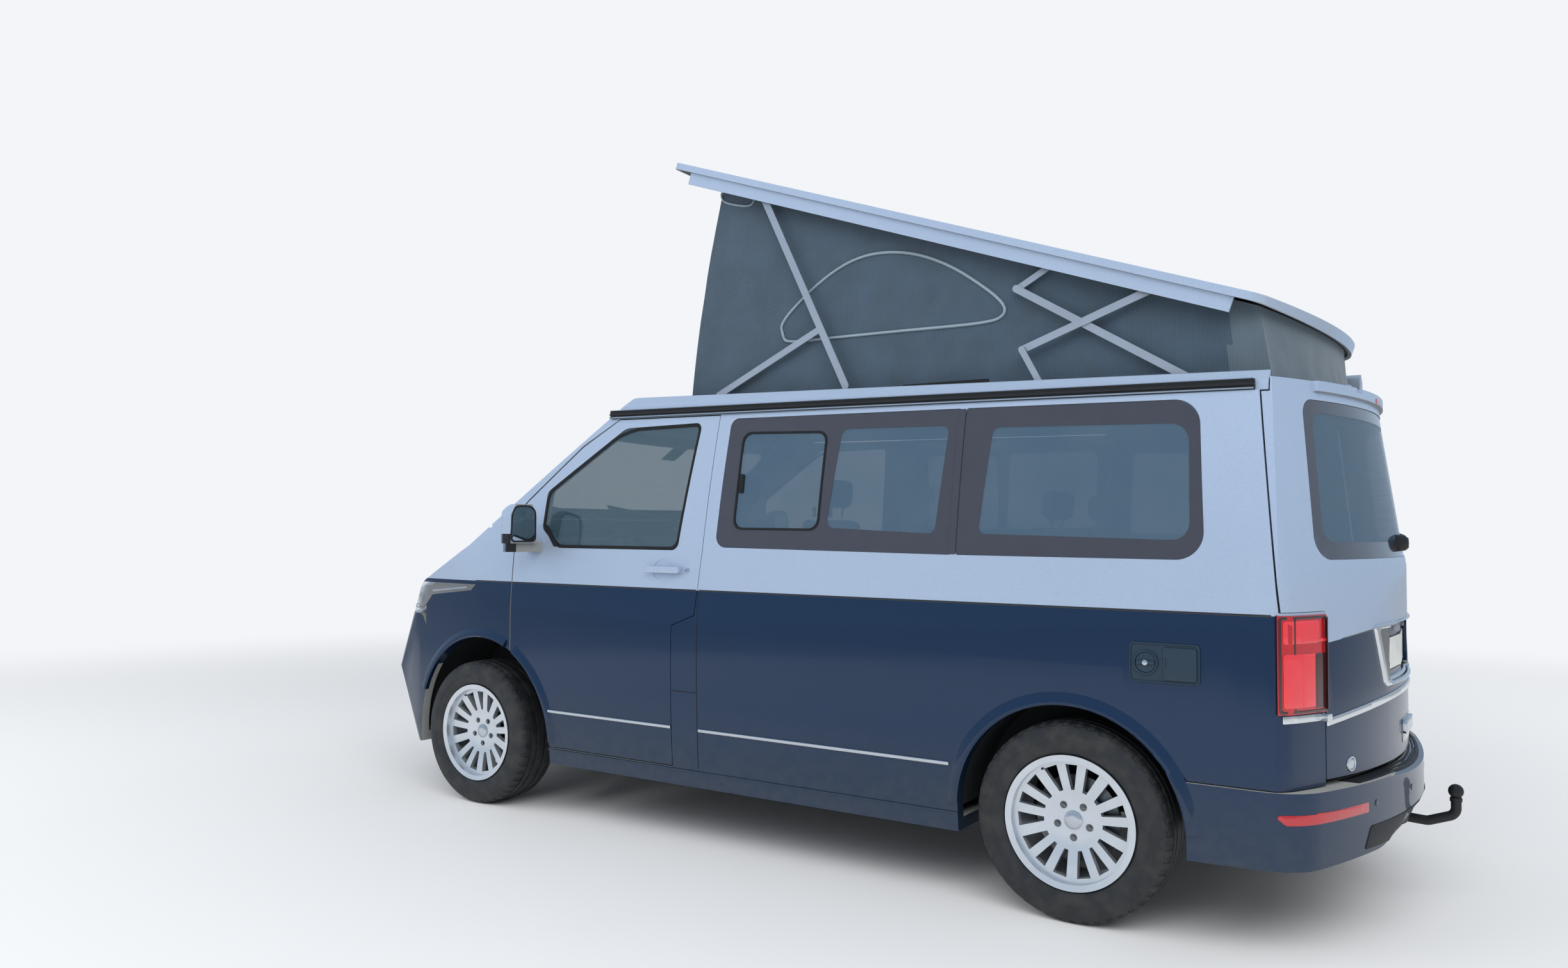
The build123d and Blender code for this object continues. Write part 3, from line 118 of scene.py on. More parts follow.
def add_node(tree: Any, kind: str, inputs: dict | None = None, **settings: Any) -> Any:
    """Add one node with its settings, values and links.

    Args:
        tree: Node tree that gets the node.
        kind: The node's type name, of which a shader node's may leave out its beginning.
        inputs: Value, source socket or source node (for its first output) of each input.
        settings: Properties of the node itself.

    Returns:
        The new node.
    """
    node = tree.nodes.new(kind if "Node" in kind else "ShaderNode" + kind)
    for name, value in settings.items():
        setattr(node, name, value)
    for key, value in (inputs or {}).items():
        if isinstance(value, bpy.types.Node):
            value = value.outputs[0]
        if isinstance(value, bpy.types.NodeSocket):
            tree.links.new(value, node.inputs[key])
        else:
            node.inputs[key].default_value = value
    return node


def wave_number(millimetres: float) -> float:
    """Texture scale that repeats once in a length."""
    return 1.0 / (millimetres * MM)


# Finishes


class Finish:
    """A finish that makes its material once and hands it out again."""

    label = "finish"

    def shade(self, add: Any, spot: Any) -> Any:
        """Build the shader.

        Args:
            add: Adds one node to the material's tree.
            spot: Socket with the place on the piece, in its own coordinates.

        Returns:
            The shader node.
        """
        raise NotImplementedError

    def material(self) -> bpy.types.Material:
        """The finish's material, made at its first use."""
        found = bpy.data.materials.get(self.label)
        if found is not None:
            return found
        made = bpy.data.materials.new(self.label)
        made.use_nodes = True
        made.node_tree.nodes.clear()
        add = partial(add_node, made.node_tree)
        surface = self.shade(add, add("TexCoord").outputs["Object"])
        add("OutputMaterial", {"Surface": surface})
        return made


@dataclass(frozen=True)
class Lacquer(Finish):
    """Base coat with aluminium flake under clear lacquer, sprayed and baked on sheet steel.

    The eye sees a soft metallic glint in the base, a sharp reflection in the clear coat
    with a trace of orange peel, and road dust towards the sills.
    """

    label: str = "silver_metallic_lacquer"
    upper: str = "#b3c3d9"
    lower: str = "#b3c3d9"
    waist_side: float = 1.088
    waist_tail: float = 1.040
    metallic: float = 0.5

    def shade(self, add: Any, spot: Any) -> Any:
        """Two colours split at the waist, flake, orange peel and dust."""
        axes = add("SeparateXYZ", {0: spot})
        aside = add("Math", {0: axes.outputs[1]}, operation="ABSOLUTE")
        bowed = add("Math", {0: aside, 1: 2.0}, operation="POWER")
        fall = add("Math", {0: bowed, 1: -0.08, 2: self.waist_tail}, operation="MULTIPLY_ADD")
        on_side = add("Math", {0: aside, 1: 0.76}, operation="GREATER_THAN")
        waist = add("Mix", {0: on_side, 2: fall, 3: self.waist_side}, data_type="FLOAT")
        above = add("Math", {0: axes.outputs[2], 1: waist}, operation="GREATER_THAN")
        base = add("Mix", {0: above, 6: linear(self.lower), 7: linear(self.upper)}, data_type="RGBA")
        # Real flake is 0.05 mm; it is drawn at 2 mm, the finest that shows at this distance
        flake = add("TexVoronoi", {"Vector": spot, "Scale": wave_number(2)})
        glint = add("MapRange", {0: flake.outputs["Color"], 3: 0.93, 4: 1.09})
        drift = add("TexNoise", {"Vector": spot, "Scale": wave_number(600), "Detail": 2.0})
        shadow = add("MapRange", {0: drift, 3: 0.95, 4: 1.05})
        tone = add("Math", {0: glint, 1: shadow}, operation="MULTIPLY")
        lit = add("VectorMath", {0: base.outputs[2], 1: tone}, operation="MULTIPLY")
        low = add("MapRange", {0: axes.outputs[2], 1: 0.62, 2: 0.24, 3: 0.0, 4: 0.7})
        speck = add("TexNoise", {"Vector": spot, "Scale": wave_number(40), "Detail": 6.0})
        dusty = add("Math", {0: low, 1: speck}, operation="MULTIPLY")
        coloured = add("Mix", {0: dusty, 6: lit, 7: linear("#4a4f50")}, data_type="RGBA")
        rough = add("MapRange", {0: dusty, 3: 0.34, 4: 0.62})
        peel = add("TexNoise", {"Vector": spot, "Scale": wave_number(9), "Detail": 1.0})
        bump = add("Bump", {"Strength": 0.02, "Distance": 0.001, "Height": peel})
        return add(
            "BsdfPrincipled",
            {
                "Base Color": coloured.outputs[2], "Metallic": self.metallic, "Roughness": rough, "IOR": 1.5,
                "Coat Weight": 0.6, "Specular IOR Level": 0.35, "Coat Roughness": 0.04, "Coat IOR": 1.5,
                "Coat Normal": bump,
            },
        )


@dataclass(frozen=True)
class Pane(Finish):
    """Toughened or laminated glass, floated flat and bent hot, tinted in the melt.

    Smooth and glossy with a film of dust; the tint is a plain see-through share.
    """

    label: str = "tinted_safety_glass"
    tint: str = "#2d5068"
    cover: float = 0.66

    def shade(self, add: Any, spot: Any) -> Any:
        """Dark body that lets part of the light through, with a dust film."""
        film = add("TexNoise", {"Vector": spot, "Scale": wave_number(180), "Detail": 4.0})
        rough = add("MapRange", {0: film, 3: 0.01, 4: 0.07})
        haze = add("MapRange", {0: film, 1: 0.4, 2: 0.9, 3: 0.0, 4: 0.1})
        colour = add("Mix", {0: haze, 6: linear(self.tint), 7: linear("#8d949a")}, data_type="RGBA")
        return add(
            "BsdfPrincipled",
            {
                "Base Color": colour.outputs[2], "Roughness": rough, "IOR": 2.1, "Alpha": self.cover,
                "Specular IOR Level": 0.8,
            },
        )


@dataclass(frozen=True)
class Moulded(Finish):
    """Injection-moulded plastic with an eroded grain, or smooth where the grain is off.

    The grain breaks the gloss into a soft sheen; corners and high spots are a little worn.
    """

    label: str = "grained_black_polypropylene"
    colour: str = "#1b1c1e"
    rough: float = 0.55
    grain: float = 1.6
    relief: float = 0.25
    coat: float = 0.0

    def shade(self, add: Any, spot: Any) -> Any:
        """Colour drift, grain bump and uneven gloss."""
        drift = add("TexNoise", {"Vector": spot, "Scale": wave_number(70), "Detail": 5.0})
        tone = add("MapRange", {0: drift, 3: 0.88, 4: 1.14})
        colour = add("VectorMath", {0: linear(self.colour)[:3], 1: tone}, operation="MULTIPLY")
        pits = add("TexVoronoi", {"Vector": spot, "Scale": wave_number(self.grain)}, feature="SMOOTH_F1")
        bump = add("Bump", {"Strength": self.relief, "Distance": 0.0006, "Height": pits.outputs["Distance"]})
        rough = add("MapRange", {0: drift, 3: self.rough - 0.06, 4: self.rough + 0.08})
        return add(
            "BsdfPrincipled",
            {
                "Base Color": colour, "Roughness": rough, "IOR": 1.49, "Normal": bump,
                "Coat Weight": self.coat, "Coat Roughness": 0.05,
            },
        )


@dataclass(frozen=True)
class Metal(Finish):
    """Metal surface: polished plate, brushed and anodised profile, or raw casting.

    Streaks run along one axis where it was brushed; a casting has pits instead.
    """

    label: str = "bright_chrome_plate"
    colour: str = "#d9dde0"
    rough: float = 0.08
    metallic: float = 1.0
    streak: Point3 = (1.0, 1.0, 1.0)
    pitch: float = 30.0
    relief: float = 0.02
    stain: str = "#8d9298"
    stained: float = 0.15

    def shade(self, add: Any, spot: Any) -> Any:
        """Streaked or pitted gloss with a little staining."""
        along = add("Mapping", {"Vector": spot, "Scale": self.streak})
        grain = add("TexNoise", {"Vector": along, "Scale": wave_number(self.pitch), "Detail": 7.0})
        patch = add("TexNoise", {"Vector": spot, "Scale": wave_number(90), "Detail": 4.0})
        share = add("MapRange", {0: patch, 1: 0.45, 2: 0.8, 3: 0.0, 4: self.stained})
        colour = add("Mix", {0: share, 6: linear(self.colour), 7: linear(self.stain)}, data_type="RGBA")
        rough = add("MapRange", {0: grain, 3: self.rough * 0.7, 4: self.rough * 1.35 + 0.02})
        bump = add("Bump", {"Strength": self.relief, "Distance": 0.001, "Height": grain})
        return add(
            "BsdfPrincipled",
            {"Base Color": colour.outputs[2], "Metallic": self.metallic, "Roughness": rough, "Normal": bump},
        )


@dataclass(frozen=True)
class Woven(Finish):
    """Woven cloth: two sets of threads crossing, with a nap and creases.

    The threads are drawn coarser than they are so that the weave shows.
    """

    label: str = "coated_tent_canvas"
    colour: str = "#44586b"
    other: str = "#37444e"
    thread: float = 3.0
    relief: float = 0.35
    rough: float = 0.85
    sheen: float = 0.25
    crease: float = 260.0

    def shade(self, add: Any, spot: Any) -> Any:
        """Warp and weft bands, colour drift between threads, and soft creases."""
        warp = add(
            "TexWave",
            {"Vector": spot, "Scale": wave_number(self.thread) / 6.28, "Distortion": 0.6, "Detail": 1.0},
            bands_direction="Z",
        )
        turned = add("Mapping", {"Vector": spot, "Rotation": (0.0, 0.0, 0.7854)})
        weft = add(
            "TexWave",
            {"Vector": turned, "Scale": wave_number(self.thread) / 6.28, "Distortion": 0.6, "Detail": 1.0},
            bands_direction="X",
        )
        cloth = add("Math", {0: warp.outputs[1], 1: weft.outputs[1]}, operation="MULTIPLY")
        drift = add("TexNoise", {"Vector": spot, "Scale": wave_number(140), "Detail": 7.0})
        blend = add("Math", {0: cloth, 1: drift}, operation="ADD")
        share = add("MapRange", {0: blend, 1: 0.3, 2: 1.2, 3: 0.0, 4: 1.0})
        colour = add("Mix", {0: share, 6: linear(self.other), 7: linear(self.colour)}, data_type="RGBA")
        fold = add("TexNoise", {"Vector": spot, "Scale": wave_number(self.crease), "Detail": 3.0})
        height = add("Math", {0: fold, 1: 14.0, 2: cloth}, operation="MULTIPLY_ADD")
        bump = add("Bump", {"Strength": self.relief, "Distance": 0.001, "Height": height})
        return add(
            "BsdfPrincipled",
            {
                "Base Color": colour.outputs[2], "Roughness": self.rough, "Normal": bump,
                "Sheen Weight": self.sheen, "Sheen Roughness": 0.5,
            },
        )


@dataclass(frozen=True)
class Rubber(Finish):
    """Vulcanised tyre rubber, pressed in a mould: matt black-brown, dusty on its walls."""

    label: str = "moulded_tyre_rubber"
    colour: str = "#202225"
    dust: str = "#4d4b47"

    def shade(self, add: Any, spot: Any) -> Any:
        """Dusty patches over a fine moulded texture."""
        patch = add("TexNoise", {"Vector": spot, "Scale": wave_number(55), "Detail": 8.0})
        share = add("MapRange", {0: patch, 1: 0.42, 2: 0.85, 3: 0.0, 4: 0.55})
        colour = add("Mix", {0: share, 6: linear(self.colour), 7: linear(self.dust)}, data_type="RGBA")
        fine = add("TexNoise", {"Vector": spot, "Scale": wave_number(3), "Detail": 3.0})
        bump = add("Bump", {"Strength": 0.2, "Distance": 0.0008, "Height": fine})
        rough = add("MapRange", {0: share, 3: 0.62, 4: 0.9})
        return add(
            "BsdfPrincipled",
            {"Base Color": colour.outputs[2], "Roughness": rough, "IOR": 1.52, "Normal": bump},
        )


@dataclass(frozen=True)
class Planks(Finish):
    """Vinyl sheet printed as boards: long streaks of brown with a joint each 120 mm."""

    label: str = "plank_print_vinyl"
    light: str = "#8a7763"
    dark: str = "#5d4d3f"

    def shade(self, add: Any, spot: Any) -> Any:
        """Streaks along the van and joints across it."""
        drawn = add("Mapping", {"Vector": spot, "Scale": (0.08, 1.0, 1.0)})
        grain = add("TexNoise", {"Vector": drawn, "Scale": wave_number(14), "Detail": 8.0})
        colour = add("Mix", {0: grain, 6: linear(self.dark), 7: linear(self.light)}, data_type="RGBA")
        axes = add("SeparateXYZ", {0: spot})
        board = add("Math", {0: axes.outputs[1], 1: 0.12}, operation="PINGPONG")
        joint = add("Math", {0: board, 1: 0.0015}, operation="LESS_THAN")
        seen = add("Mix", {0: joint, 6: colour.outputs[2], 7: linear("#2c241d")}, data_type="RGBA")
        bump = add("Bump", {"Strength": 0.15, "Distance": 0.001, "Height": grain})
        return add("BsdfPrincipled", {"Base Color": seen.outputs[2], "Roughness": 0.5, "Normal": bump})


SILVER = Lacquer()
TWO_TONE = Lacquer(label="two_tone_metallic_lacquer", lower="#04294a")
NIGHT_BLUE = Lacquer(label="dark_blue_metallic_lacquer", upper="#04294a", lower="#04294a")
BUMPER_BLUE = Lacquer(label="bumper_blue_lacquer", upper="#063154", lower="#04294a")
REAR_GLASS = Pane()
CAB_GLASS = Pane(label="green_tinted_cab_glass", tint="#3c5a68", cover=0.42)
FRIT = Moulded(label="fired_black_glass_border", colour="#33333d", rough=0.12, relief=0.0, coat=1.0)
PLASTIC = Moulded()
SLATE_PLASTIC = Moulded(label="slate_blue_moulded_plastic", colour="#1c3040", rough=0.42)
TRIM_GREY = Moulded(label="soft_grey_cab_plastic", colour="#3a3d41", rough=0.6)
LINING = Moulded(label="pale_grey_wall_lining", colour="#9b9c9a", rough=0.75, grain=3.0, relief=0.4)
GLOSS_BLACK = Moulded(label="gloss_black_abs", colour="#101114", rough=0.2, relief=0.0, coat=1.0)
SEAL = Moulded(label="black_epdm_seal", colour="#141516", rough=0.7, grain=2.0)
UNDERSEAL = Moulded(label="sprayed_stone_chip_coat", colour="#26282a", rough=0.8, grain=4.0, relief=0.7)
CHROME = Metal()
SATIN_CHROME = Metal(label="satin_chrome_plate", colour="#c9ced4", rough=0.22)
ALUMINIUM = Metal(
    label="anodised_aluminium_profile", colour="#c3c9d1", rough=0.34, metallic=0.85, streak=(0.15, 1.0, 1.0),
    pitch=4.0, relief=0.05,
)
ALLOY = Metal(
    label="lacquered_cast_aluminium", colour="#d2d8de", rough=0.3, metallic=0.75, pitch=140.0, relief=0.0,
    stain="#a9adb2",
)
STEEL = Metal(
    label="rolled_steel", colour="#7e8184", rough=0.4, pitch=10.0, relief=0.1, stained=0.5, stain="#5b4a3f"
)
CASTING = Metal(
    label="cast_engine_metal", colour="#74777a", rough=0.55, pitch=6.0, relief=0.5, stained=0.5,
    stain="#2f2d2b",
)
CANVAS = Woven()
# Lighter copy of the tent canvas: painted light for the rear wall, which the sky lights more
CANVAS_PAINTED_LIGHT = Woven(label="tent_canvas_painted_light", colour="#5b6b76", other="#4b5964")
PIPING = Woven(label="pale_cotton_piping", colour="#8fa2ad", other="#7b8c97", thread=4.0)
SEAT_CLOTH = Woven(label="flat_woven_seat_cloth", colour="#5b5e62", other="#3f4246", thread=4.0, crease=90.0)
SEAT_SIDE = Woven(label="dark_seat_bolster_cloth", colour="#34363a", other="#292b2e", thread=4.0, crease=90.0)
CARPET = Woven(label="needled_cab_carpet", colour="#2b2c2e", other="#212224", thread=5.0, relief=0.8)
TYRE = Rubber()
FLOOR = Planks()
CABINET = Moulded(label="grey_melamine_board", colour="#b3b4b1", rough=0.42, grain=5.0, relief=0.06)
WORKTOP = Moulded(label="anthracite_worktop", colour="#4a4c4e", rough=0.35, grain=2.5, relief=0.1)
RED_LENS = Moulded(label="red_acrylic_lens", colour="#b3121d", rough=0.12, relief=0.0, coat=1.0)
BRIGHT_RED = Moulded(label="lit_red_acrylic_bar", colour="#e2303a", rough=0.1, relief=0.0, coat=1.0)
SMOKE_LENS = Moulded(label="smoked_acrylic_lens", colour="#3b1417", rough=0.1, relief=0.0, coat=1.0)
CLEAR_LENS = Pane(label="clear_polycarbonate_lens", tint="#b9c0c6", cover=0.3)
BLANK_PLATE = Moulded(
    label="blank_number_plate", colour="#dcdcd6", rough=0.35, grain=3.0, relief=0.05, coat=0.3
)
MIRROR_SHELL = Lacquer(label="mirror_shell_lacquer", lower="#16181a", waist_side=1.322)
AMBER_WIRE = Moulded(label="printed_heating_wire", colour="#6b4a35", rough=0.5, relief=0.0)
MIRROR_GLASS = Metal(label="silvered_mirror_glass", colour="#cfd6dc", rough=0.02, relief=0.0, stained=0.05)


# Drawing and laying pieces


class Side(Enum):
    """The side of the van that a flat-drawn piece is laid on."""

    LEFT = "left"
    RIGHT = "right"
    REAR = "rear"
    FRONT = "front"
    TOP = "top"


LEFT, RIGHT, REAR, FRONT, TOP = Side


def flat_face(rows: Sequence[Row], steps: int = 5) -> Mesh:
    """Draw one flat face with rounded corners.

    Args:
        rows: Corners as (u, v, reach), the reach being how far the rounding runs back.
        steps: Segments of each rounded corner.

    Returns:
        A mesh with that face, in millimetres of the drawing plane.
    """
    bm = bmesh.new()
    corners = [bm.verts.new((u, v, 0.0)) for u, v, _ in rows]
    bm.faces.new(corners)
    for corner, (_, _, reach) in zip(corners, rows):
        if reach:
            bmesh.ops.bevel(
                bm, geom=[corner], offset=reach, affect="VERTICES", segments=steps, profile=0.5, material=-1
            )
    return bm


def round_off(bm: Mesh, edges: Sequence[Any], width: float, steps: int = 3) -> None:
    """Round some edges of a mesh, each over a width."""
    bmesh.ops.bevel(
        bm, geom=edges, offset=width, affect="EDGES", segments=steps, profile=0.5, material=-1,
        clamp_overlap=True,
    )


def thicken(bm: Mesh, low: float, high: float, edge: float = 0.0) -> Mesh:
    """Raise a flat drawing to a closed slab.

    Args:
        bm: Flat drawing.
        low: Height of its back.
        high: Height of its front.
        edge: Width of the rounding round its front.

    Returns:
        The same mesh.
    """
    for vert in bm.verts:
        vert.co.z = low
    made = bmesh.ops.extrude_face_region(bm, geom=list(bm.faces))
    raised = [item for item in made["geom"] if isinstance(item, bmesh.types.BMVert)]
    bmesh.ops.translate(bm, verts=raised, vec=(0, 0, high - low))
    bmesh.ops.recalc_face_normals(bm, faces=bm.faces)
    if edge:
        top = set(raised)
        rim = []
        for line in bm.edges:
            if line.verts[0] in top and line.verts[1] in top:
                flat = [f for f in line.link_faces if all(v in top for v in f.verts)]
                if len(flat) == 1:
                    rim.append(line)
        round_off(bm, rim, edge)
    return bm


def slab(rows: Sequence[Row], low: float, high: float, edge: float = 0.0) -> Mesh:
    """Closed slab of an outline, between two heights."""
    return thicken(flat_face(rows), low, high, edge)


def framed(outer: Sequence[Row], inner: Sequence[Row], low: float, high: float, edge: float = 0.0) -> Mesh:
    """Closed ring between two outlines of as many corners.

    Args:
        outer: Rows of the outer outline.
        inner: Rows of the inner outline.
        low: Height of its back.
        high: Height of its front.
        edge: Width of the rounding round its front.

    Returns:
        The ring's mesh in the drawing space.
    """
    bm = joined(flat_face(outer), flat_face(inner))
    bmesh.ops.delete(bm, geom=list(bm.faces), context="FACES_ONLY")
    bmesh.ops.bridge_loops(bm, edges=list(bm.edges))
    return thicken(bm, low, high, edge)


def drawn_in(rows: Sequence[Row], gap: float) -> list[Row]:
    """Outline drawn in by a gap on every side, its roundings kept."""
    count = len(rows)
    turn = sum(rows[i - 1][0] * rows[i][1] - rows[i][0] * rows[i - 1][1] for i in range(count))
    way = 1.0 if turn > 0 else -1.0
    found: list[Row] = []
    for i, (u, v, reach) in enumerate(rows):
        back = Vector((u - rows[i - 1][0], v - rows[i - 1][1])).normalized()
        ahead = Vector((rows[(i + 1) % count][0] - u, rows[(i + 1) % count][1] - v)).normalized()
        normal_a = Vector((-back.y, back.x)) * way
        normal_b = Vector((-ahead.y, ahead.x)) * way
        lift = (normal_a + normal_b) / max(0.2, 1.0 + normal_a.dot(normal_b)) * gap
        found.append((u + lift.x, v + lift.y, max(reach - gap * 0.5, reach * 0.3)))
    return found


def rounded_box(u0: float, u1: float, v0: float, v1: float, reach: float) -> list[Row]:
    """Rows of a rectangle with rounded corners."""
    return [(u0, v0, reach), (u1, v0, reach), (u1, v1, reach), (u0, v1, reach)]


def bowed_strip(half: float, reach: float, middle: Callable[[float], float]) -> list[Row]:
    """Rows of a strip across the van whose middle line is a function of the distance aside."""
    ys = [half * (i / 5.0 - 1.0) for i in range(11)]
    return [(y, middle(y) - reach, 0.0) for y in ys] + [(y, middle(y) + reach, 0.0) for y in reversed(ys)]


def round_rows(u: float, v: float, radius: float, count: int = 20, squeeze: float = 1.0) -> list[Row]:
    """Rows of a circle, or of an ellipse whose height is squeezed."""
    turns = [math.tau * i / count for i in range(count)]
    return [(u + radius * math.cos(t), v + radius * squeeze * math.sin(t), 0.0) for t in turns]


def lofted(rings: Sequence[Sequence[Vector]], capped: bool = True, looped: bool = False) -> Mesh:
    """Extrude a ring of edges from one ring of places to the next.

    Args:
        rings: Rings of as many points each, in metres.
        capped: Whether the first and last ring are closed with a face.
        looped: Whether the last ring joins the first one.

    Returns:
        The lofted mesh.
    """
    bm = bmesh.new()
    first = [bm.verts.new(spot) for spot in rings[0]]
    last = first
    edges = [bm.edges.new((first[k - 1], first[k])) for k in range(len(first))]
    if capped:
        bm.faces.new(first)
    for spots in rings[1:]:
        made = bmesh.ops.extrude_edge_only(bm, edges=edges)
        fresh = {item for item in made["geom"] if isinstance(item, bmesh.types.BMVert)}
        row = []
        for vert, spot in zip(last, spots):
            twin = next(e.other_vert(vert) for e in vert.link_edges if e.other_vert(vert) in fresh)
            twin.co = spot
            row.append(twin)
        last = row
        edges = [bm.edges.get((last[k - 1], last[k])) for k in range(len(last))]
    if looped:
        start = [bm.edges.get((first[k - 1], first[k])) for k in range(len(first))]
        bmesh.ops.bridge_loops(bm, edges=start + edges)
    elif capped:
        bm.faces.new(list(reversed(last)))
    bmesh.ops.recalc_face_normals(bm, faces=bm.faces)
    return bm


def swept(path: Sequence[Vector], section: Sequence[Point2], up: Vector, closed: bool = False) -> Mesh:
    """Sweep a closed section along a path.

    Args:
        path: Points in metres.
        section: The section's corners as (sideways, upward), in millimetres.
        up: Direction that the section's upward side keeps to.
        closed: Whether the path returns to its first point.

    Returns:
        The swept mesh, in metres.
    """
    count = len(path)
    rings = []
    for i, point in enumerate(path):
        before = path[i - 1] if (i or closed) else point
        after = path[(i + 1) % count] if (i + 1 < count or closed) else point
        along = (after - before).normalized()
        side = along.cross(up).normalized()
        top = side.cross(along).normalized()
        rings.append([point + side * (a * MM) + top * (b * MM) for a, b in section])
    return lofted(rings, capped=not closed, looped=closed)


def tube_section(radius: float, count: int = 8) -> list[Point2]:
    """Round section of a tube."""
    return [
        (radius * math.cos(math.tau * k / count), radius * math.sin(math.tau * k / count))
        for k in range(count)
    ]


def block(x0: float, x1: float, y0: float, y1: float, z0: float, z1: float, edge: float = 0.0) -> Mesh:
    """Block between two station corners with softened edges, in metres."""
    bm = bmesh.new()
    bmesh.ops.create_cube(bm, size=1.0)
    middle = place((x0 + x1) / 2, (y0 + y1) / 2, (z0 + z1) / 2)
    size = Vector((abs(x1 - x0), abs(y1 - y0), abs(z1 - z0))) * MM
    bmesh.ops.scale(bm, vec=size, verts=bm.verts)
    bmesh.ops.translate(bm, vec=middle, verts=bm.verts)
    if edge:
        round_off(bm, list(bm.edges), edge * MM)
    return bm


def turned(profile: Sequence[Point2], centre: Vector, axis: Vector, steps: int = 48) -> Mesh:
    """Turn a profile about an axis.

    Args:
        profile: Points as (radius, height along the axis), in millimetres.
        centre: Where the axis starts, in metres.
        axis: Direction of the axis.
        steps: Segments round the turn.

    Returns:
        The turned mesh, closed where the profile meets the axis.
    """
    bm = bmesh.new()
    verts = [bm.verts.new((r * MM, 0.0, h * MM)) for r, h in profile]
    edges = [bm.edges.new(pair) for pair in zip(verts, verts[1:])]
    bmesh.ops.spin(
        bm, geom=verts + edges, cent=(0, 0, 0), axis=(0, 0, 1), angle=math.tau, steps=steps, use_merge=True
    )
    bmesh.ops.remove_doubles(bm, verts=bm.verts, dist=0.00001)
    bmesh.ops.recalc_face_normals(bm, faces=bm.faces)
    turn = UP.rotation_difference(axis.normalized()).to_matrix().to_4x4()
    bmesh.ops.transform(bm, matrix=Matrix.Translation(centre) @ turn, verts=bm.verts)
    return bm


def joined(*parts: Mesh) -> Mesh:
    """Gather several meshes in the first one."""
    first = parts[0]
    for part in parts[1:]:
        spare = bpy.data.meshes.new("spare")
        part.to_mesh(spare)
        part.free()
        first.from_mesh(spare)
        bpy.data.meshes.remove(spare)
    return first


def mirrored(bm: Mesh) -> Mesh:
    """Copy of a mesh on the van's other side."""
    twin = bm.copy()
    bmesh.ops.scale(twin, vec=(1, -1, 1), verts=twin.verts)
    bmesh.ops.reverse_faces(twin, faces=twin.faces)
    return twin


def make_piece(
    bm: Mesh, name: str, body: str, finish: Finish, slot: str = "trim", sharp: float = 35.0
) -> Item:
    """Turn a mesh into a finished piece that rides on a body.

    Args:
        bm: The mesh, in metres in the frame; it is freed.
        name: The piece's name.
        body: The CAD body that it moves with.
        finish: Its finish.
        slot: Name of a material slot; not used.
        sharp: Edges over this angle stay crisp, in degrees.

    Returns:
        The piece's object.
    """
    mesh = bpy.data.meshes.new(name)
    bm.to_mesh(mesh)
    bm.free()
    mesh.polygons.foreach_set("use_smooth", [True] * len(mesh.polygons))
    mesh.set_sharp_from_angle(angle=math.radians(sharp))
    mesh.materials.append(finish.material())
    piece = bpy.data.objects.new(name, mesh)
    bpy.context.scene.collection.objects.link(piece)
    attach(piece, body)
    LOG.info("piece %s: %d faces on %s", name, len(mesh.polygons), body)
    return piece


class Skin:
    """Outer surface of some CAD nodes, on which flat-drawn pieces are laid."""

    def __init__(self, *objects: Item) -> None:
        """Gather the objects' faces."""
        verts: list[Vector] = []
        faces: list[list[int]] = []
        for item in objects:
            start = len(verts)
            data = item.data
            verts.extend(v.co.copy() for v in data.vertices)
            faces.extend([start + i for i in p.vertices] for p in data.polygons)
        self.tree = BVHTree.FromPolygons(verts, faces)

    def touch(self, side: Side, u: float, v: float) -> tuple[Vector, Vector]:
        """Point of the surface under a drawing point, and the way out of the surface there."""
        starts = {
            LEFT: (place(u, 1700, v), -ASIDE),
            RIGHT: (place(u, -1700, v), ASIDE),
            REAR: (place(-3400, u, v), Vector((1, 0, 0))),
            FRONT: (place(3400, u, v), Vector((-1, 0, 0))),
            TOP: (place(u, v, 3600), -UP),
        }
        start, way = starts[side]
        cross = way.orthogonal().normalized()
        other = way.cross(cross)
        for reach in (0.0, 7.0, 16.0, 40.0):
            for a, b in ((1, 0), (-1, 0), (0, 1), (0, -1)):
                found = self.tree.ray_cast(start + (cross * a + other * b) * reach * MM, way)
                if found[0] is not None:
                    spot = start + way * (found[0] - start).dot(way)
                    return spot, -way
        near = self.tree.find_nearest(start + way * 1.5)[0]
        return start + way * (near - start).dot(way), -way

    def lay(self, bm: Mesh, side: Side, pitch: float = 60.0) -> Mesh:
        """Lay a drawn mesh on the surface.

        Args:
            bm: Mesh in the drawing space, its height being the distance off the surface.
            side: Side that it is laid on.
            pitch: Spacing of the cuts that let it follow the surface.

        Returns:
            The same mesh, in metres in the frame.
        """
        for axis in (0, 1):
            spread = [v.co[axis] for v in bm.verts]
            first = math.floor(min(spread) / pitch) + 1
            last = math.ceil(max(spread) / pitch)
            for k in range(first, last):
                where = Vector((0.0, 0.0, 0.0))
                where[axis] = k * pitch
                normal = Vector((0.0, 0.0, 0.0))
                normal[axis] = 1.0
                bmesh.ops.bisect_plane(
                    bm, geom=list(bm.verts) + list(bm.edges) + list(bm.faces), plane_co=where, plane_no=normal
                )
        for vert in bm.verts:
            u, v, height = vert.co
            spot, out = self.touch(side, u, v)
            vert.co = spot + out * (height * MM)
        bmesh.ops.recalc_face_normals(bm, faces=bm.faces)
        return bm


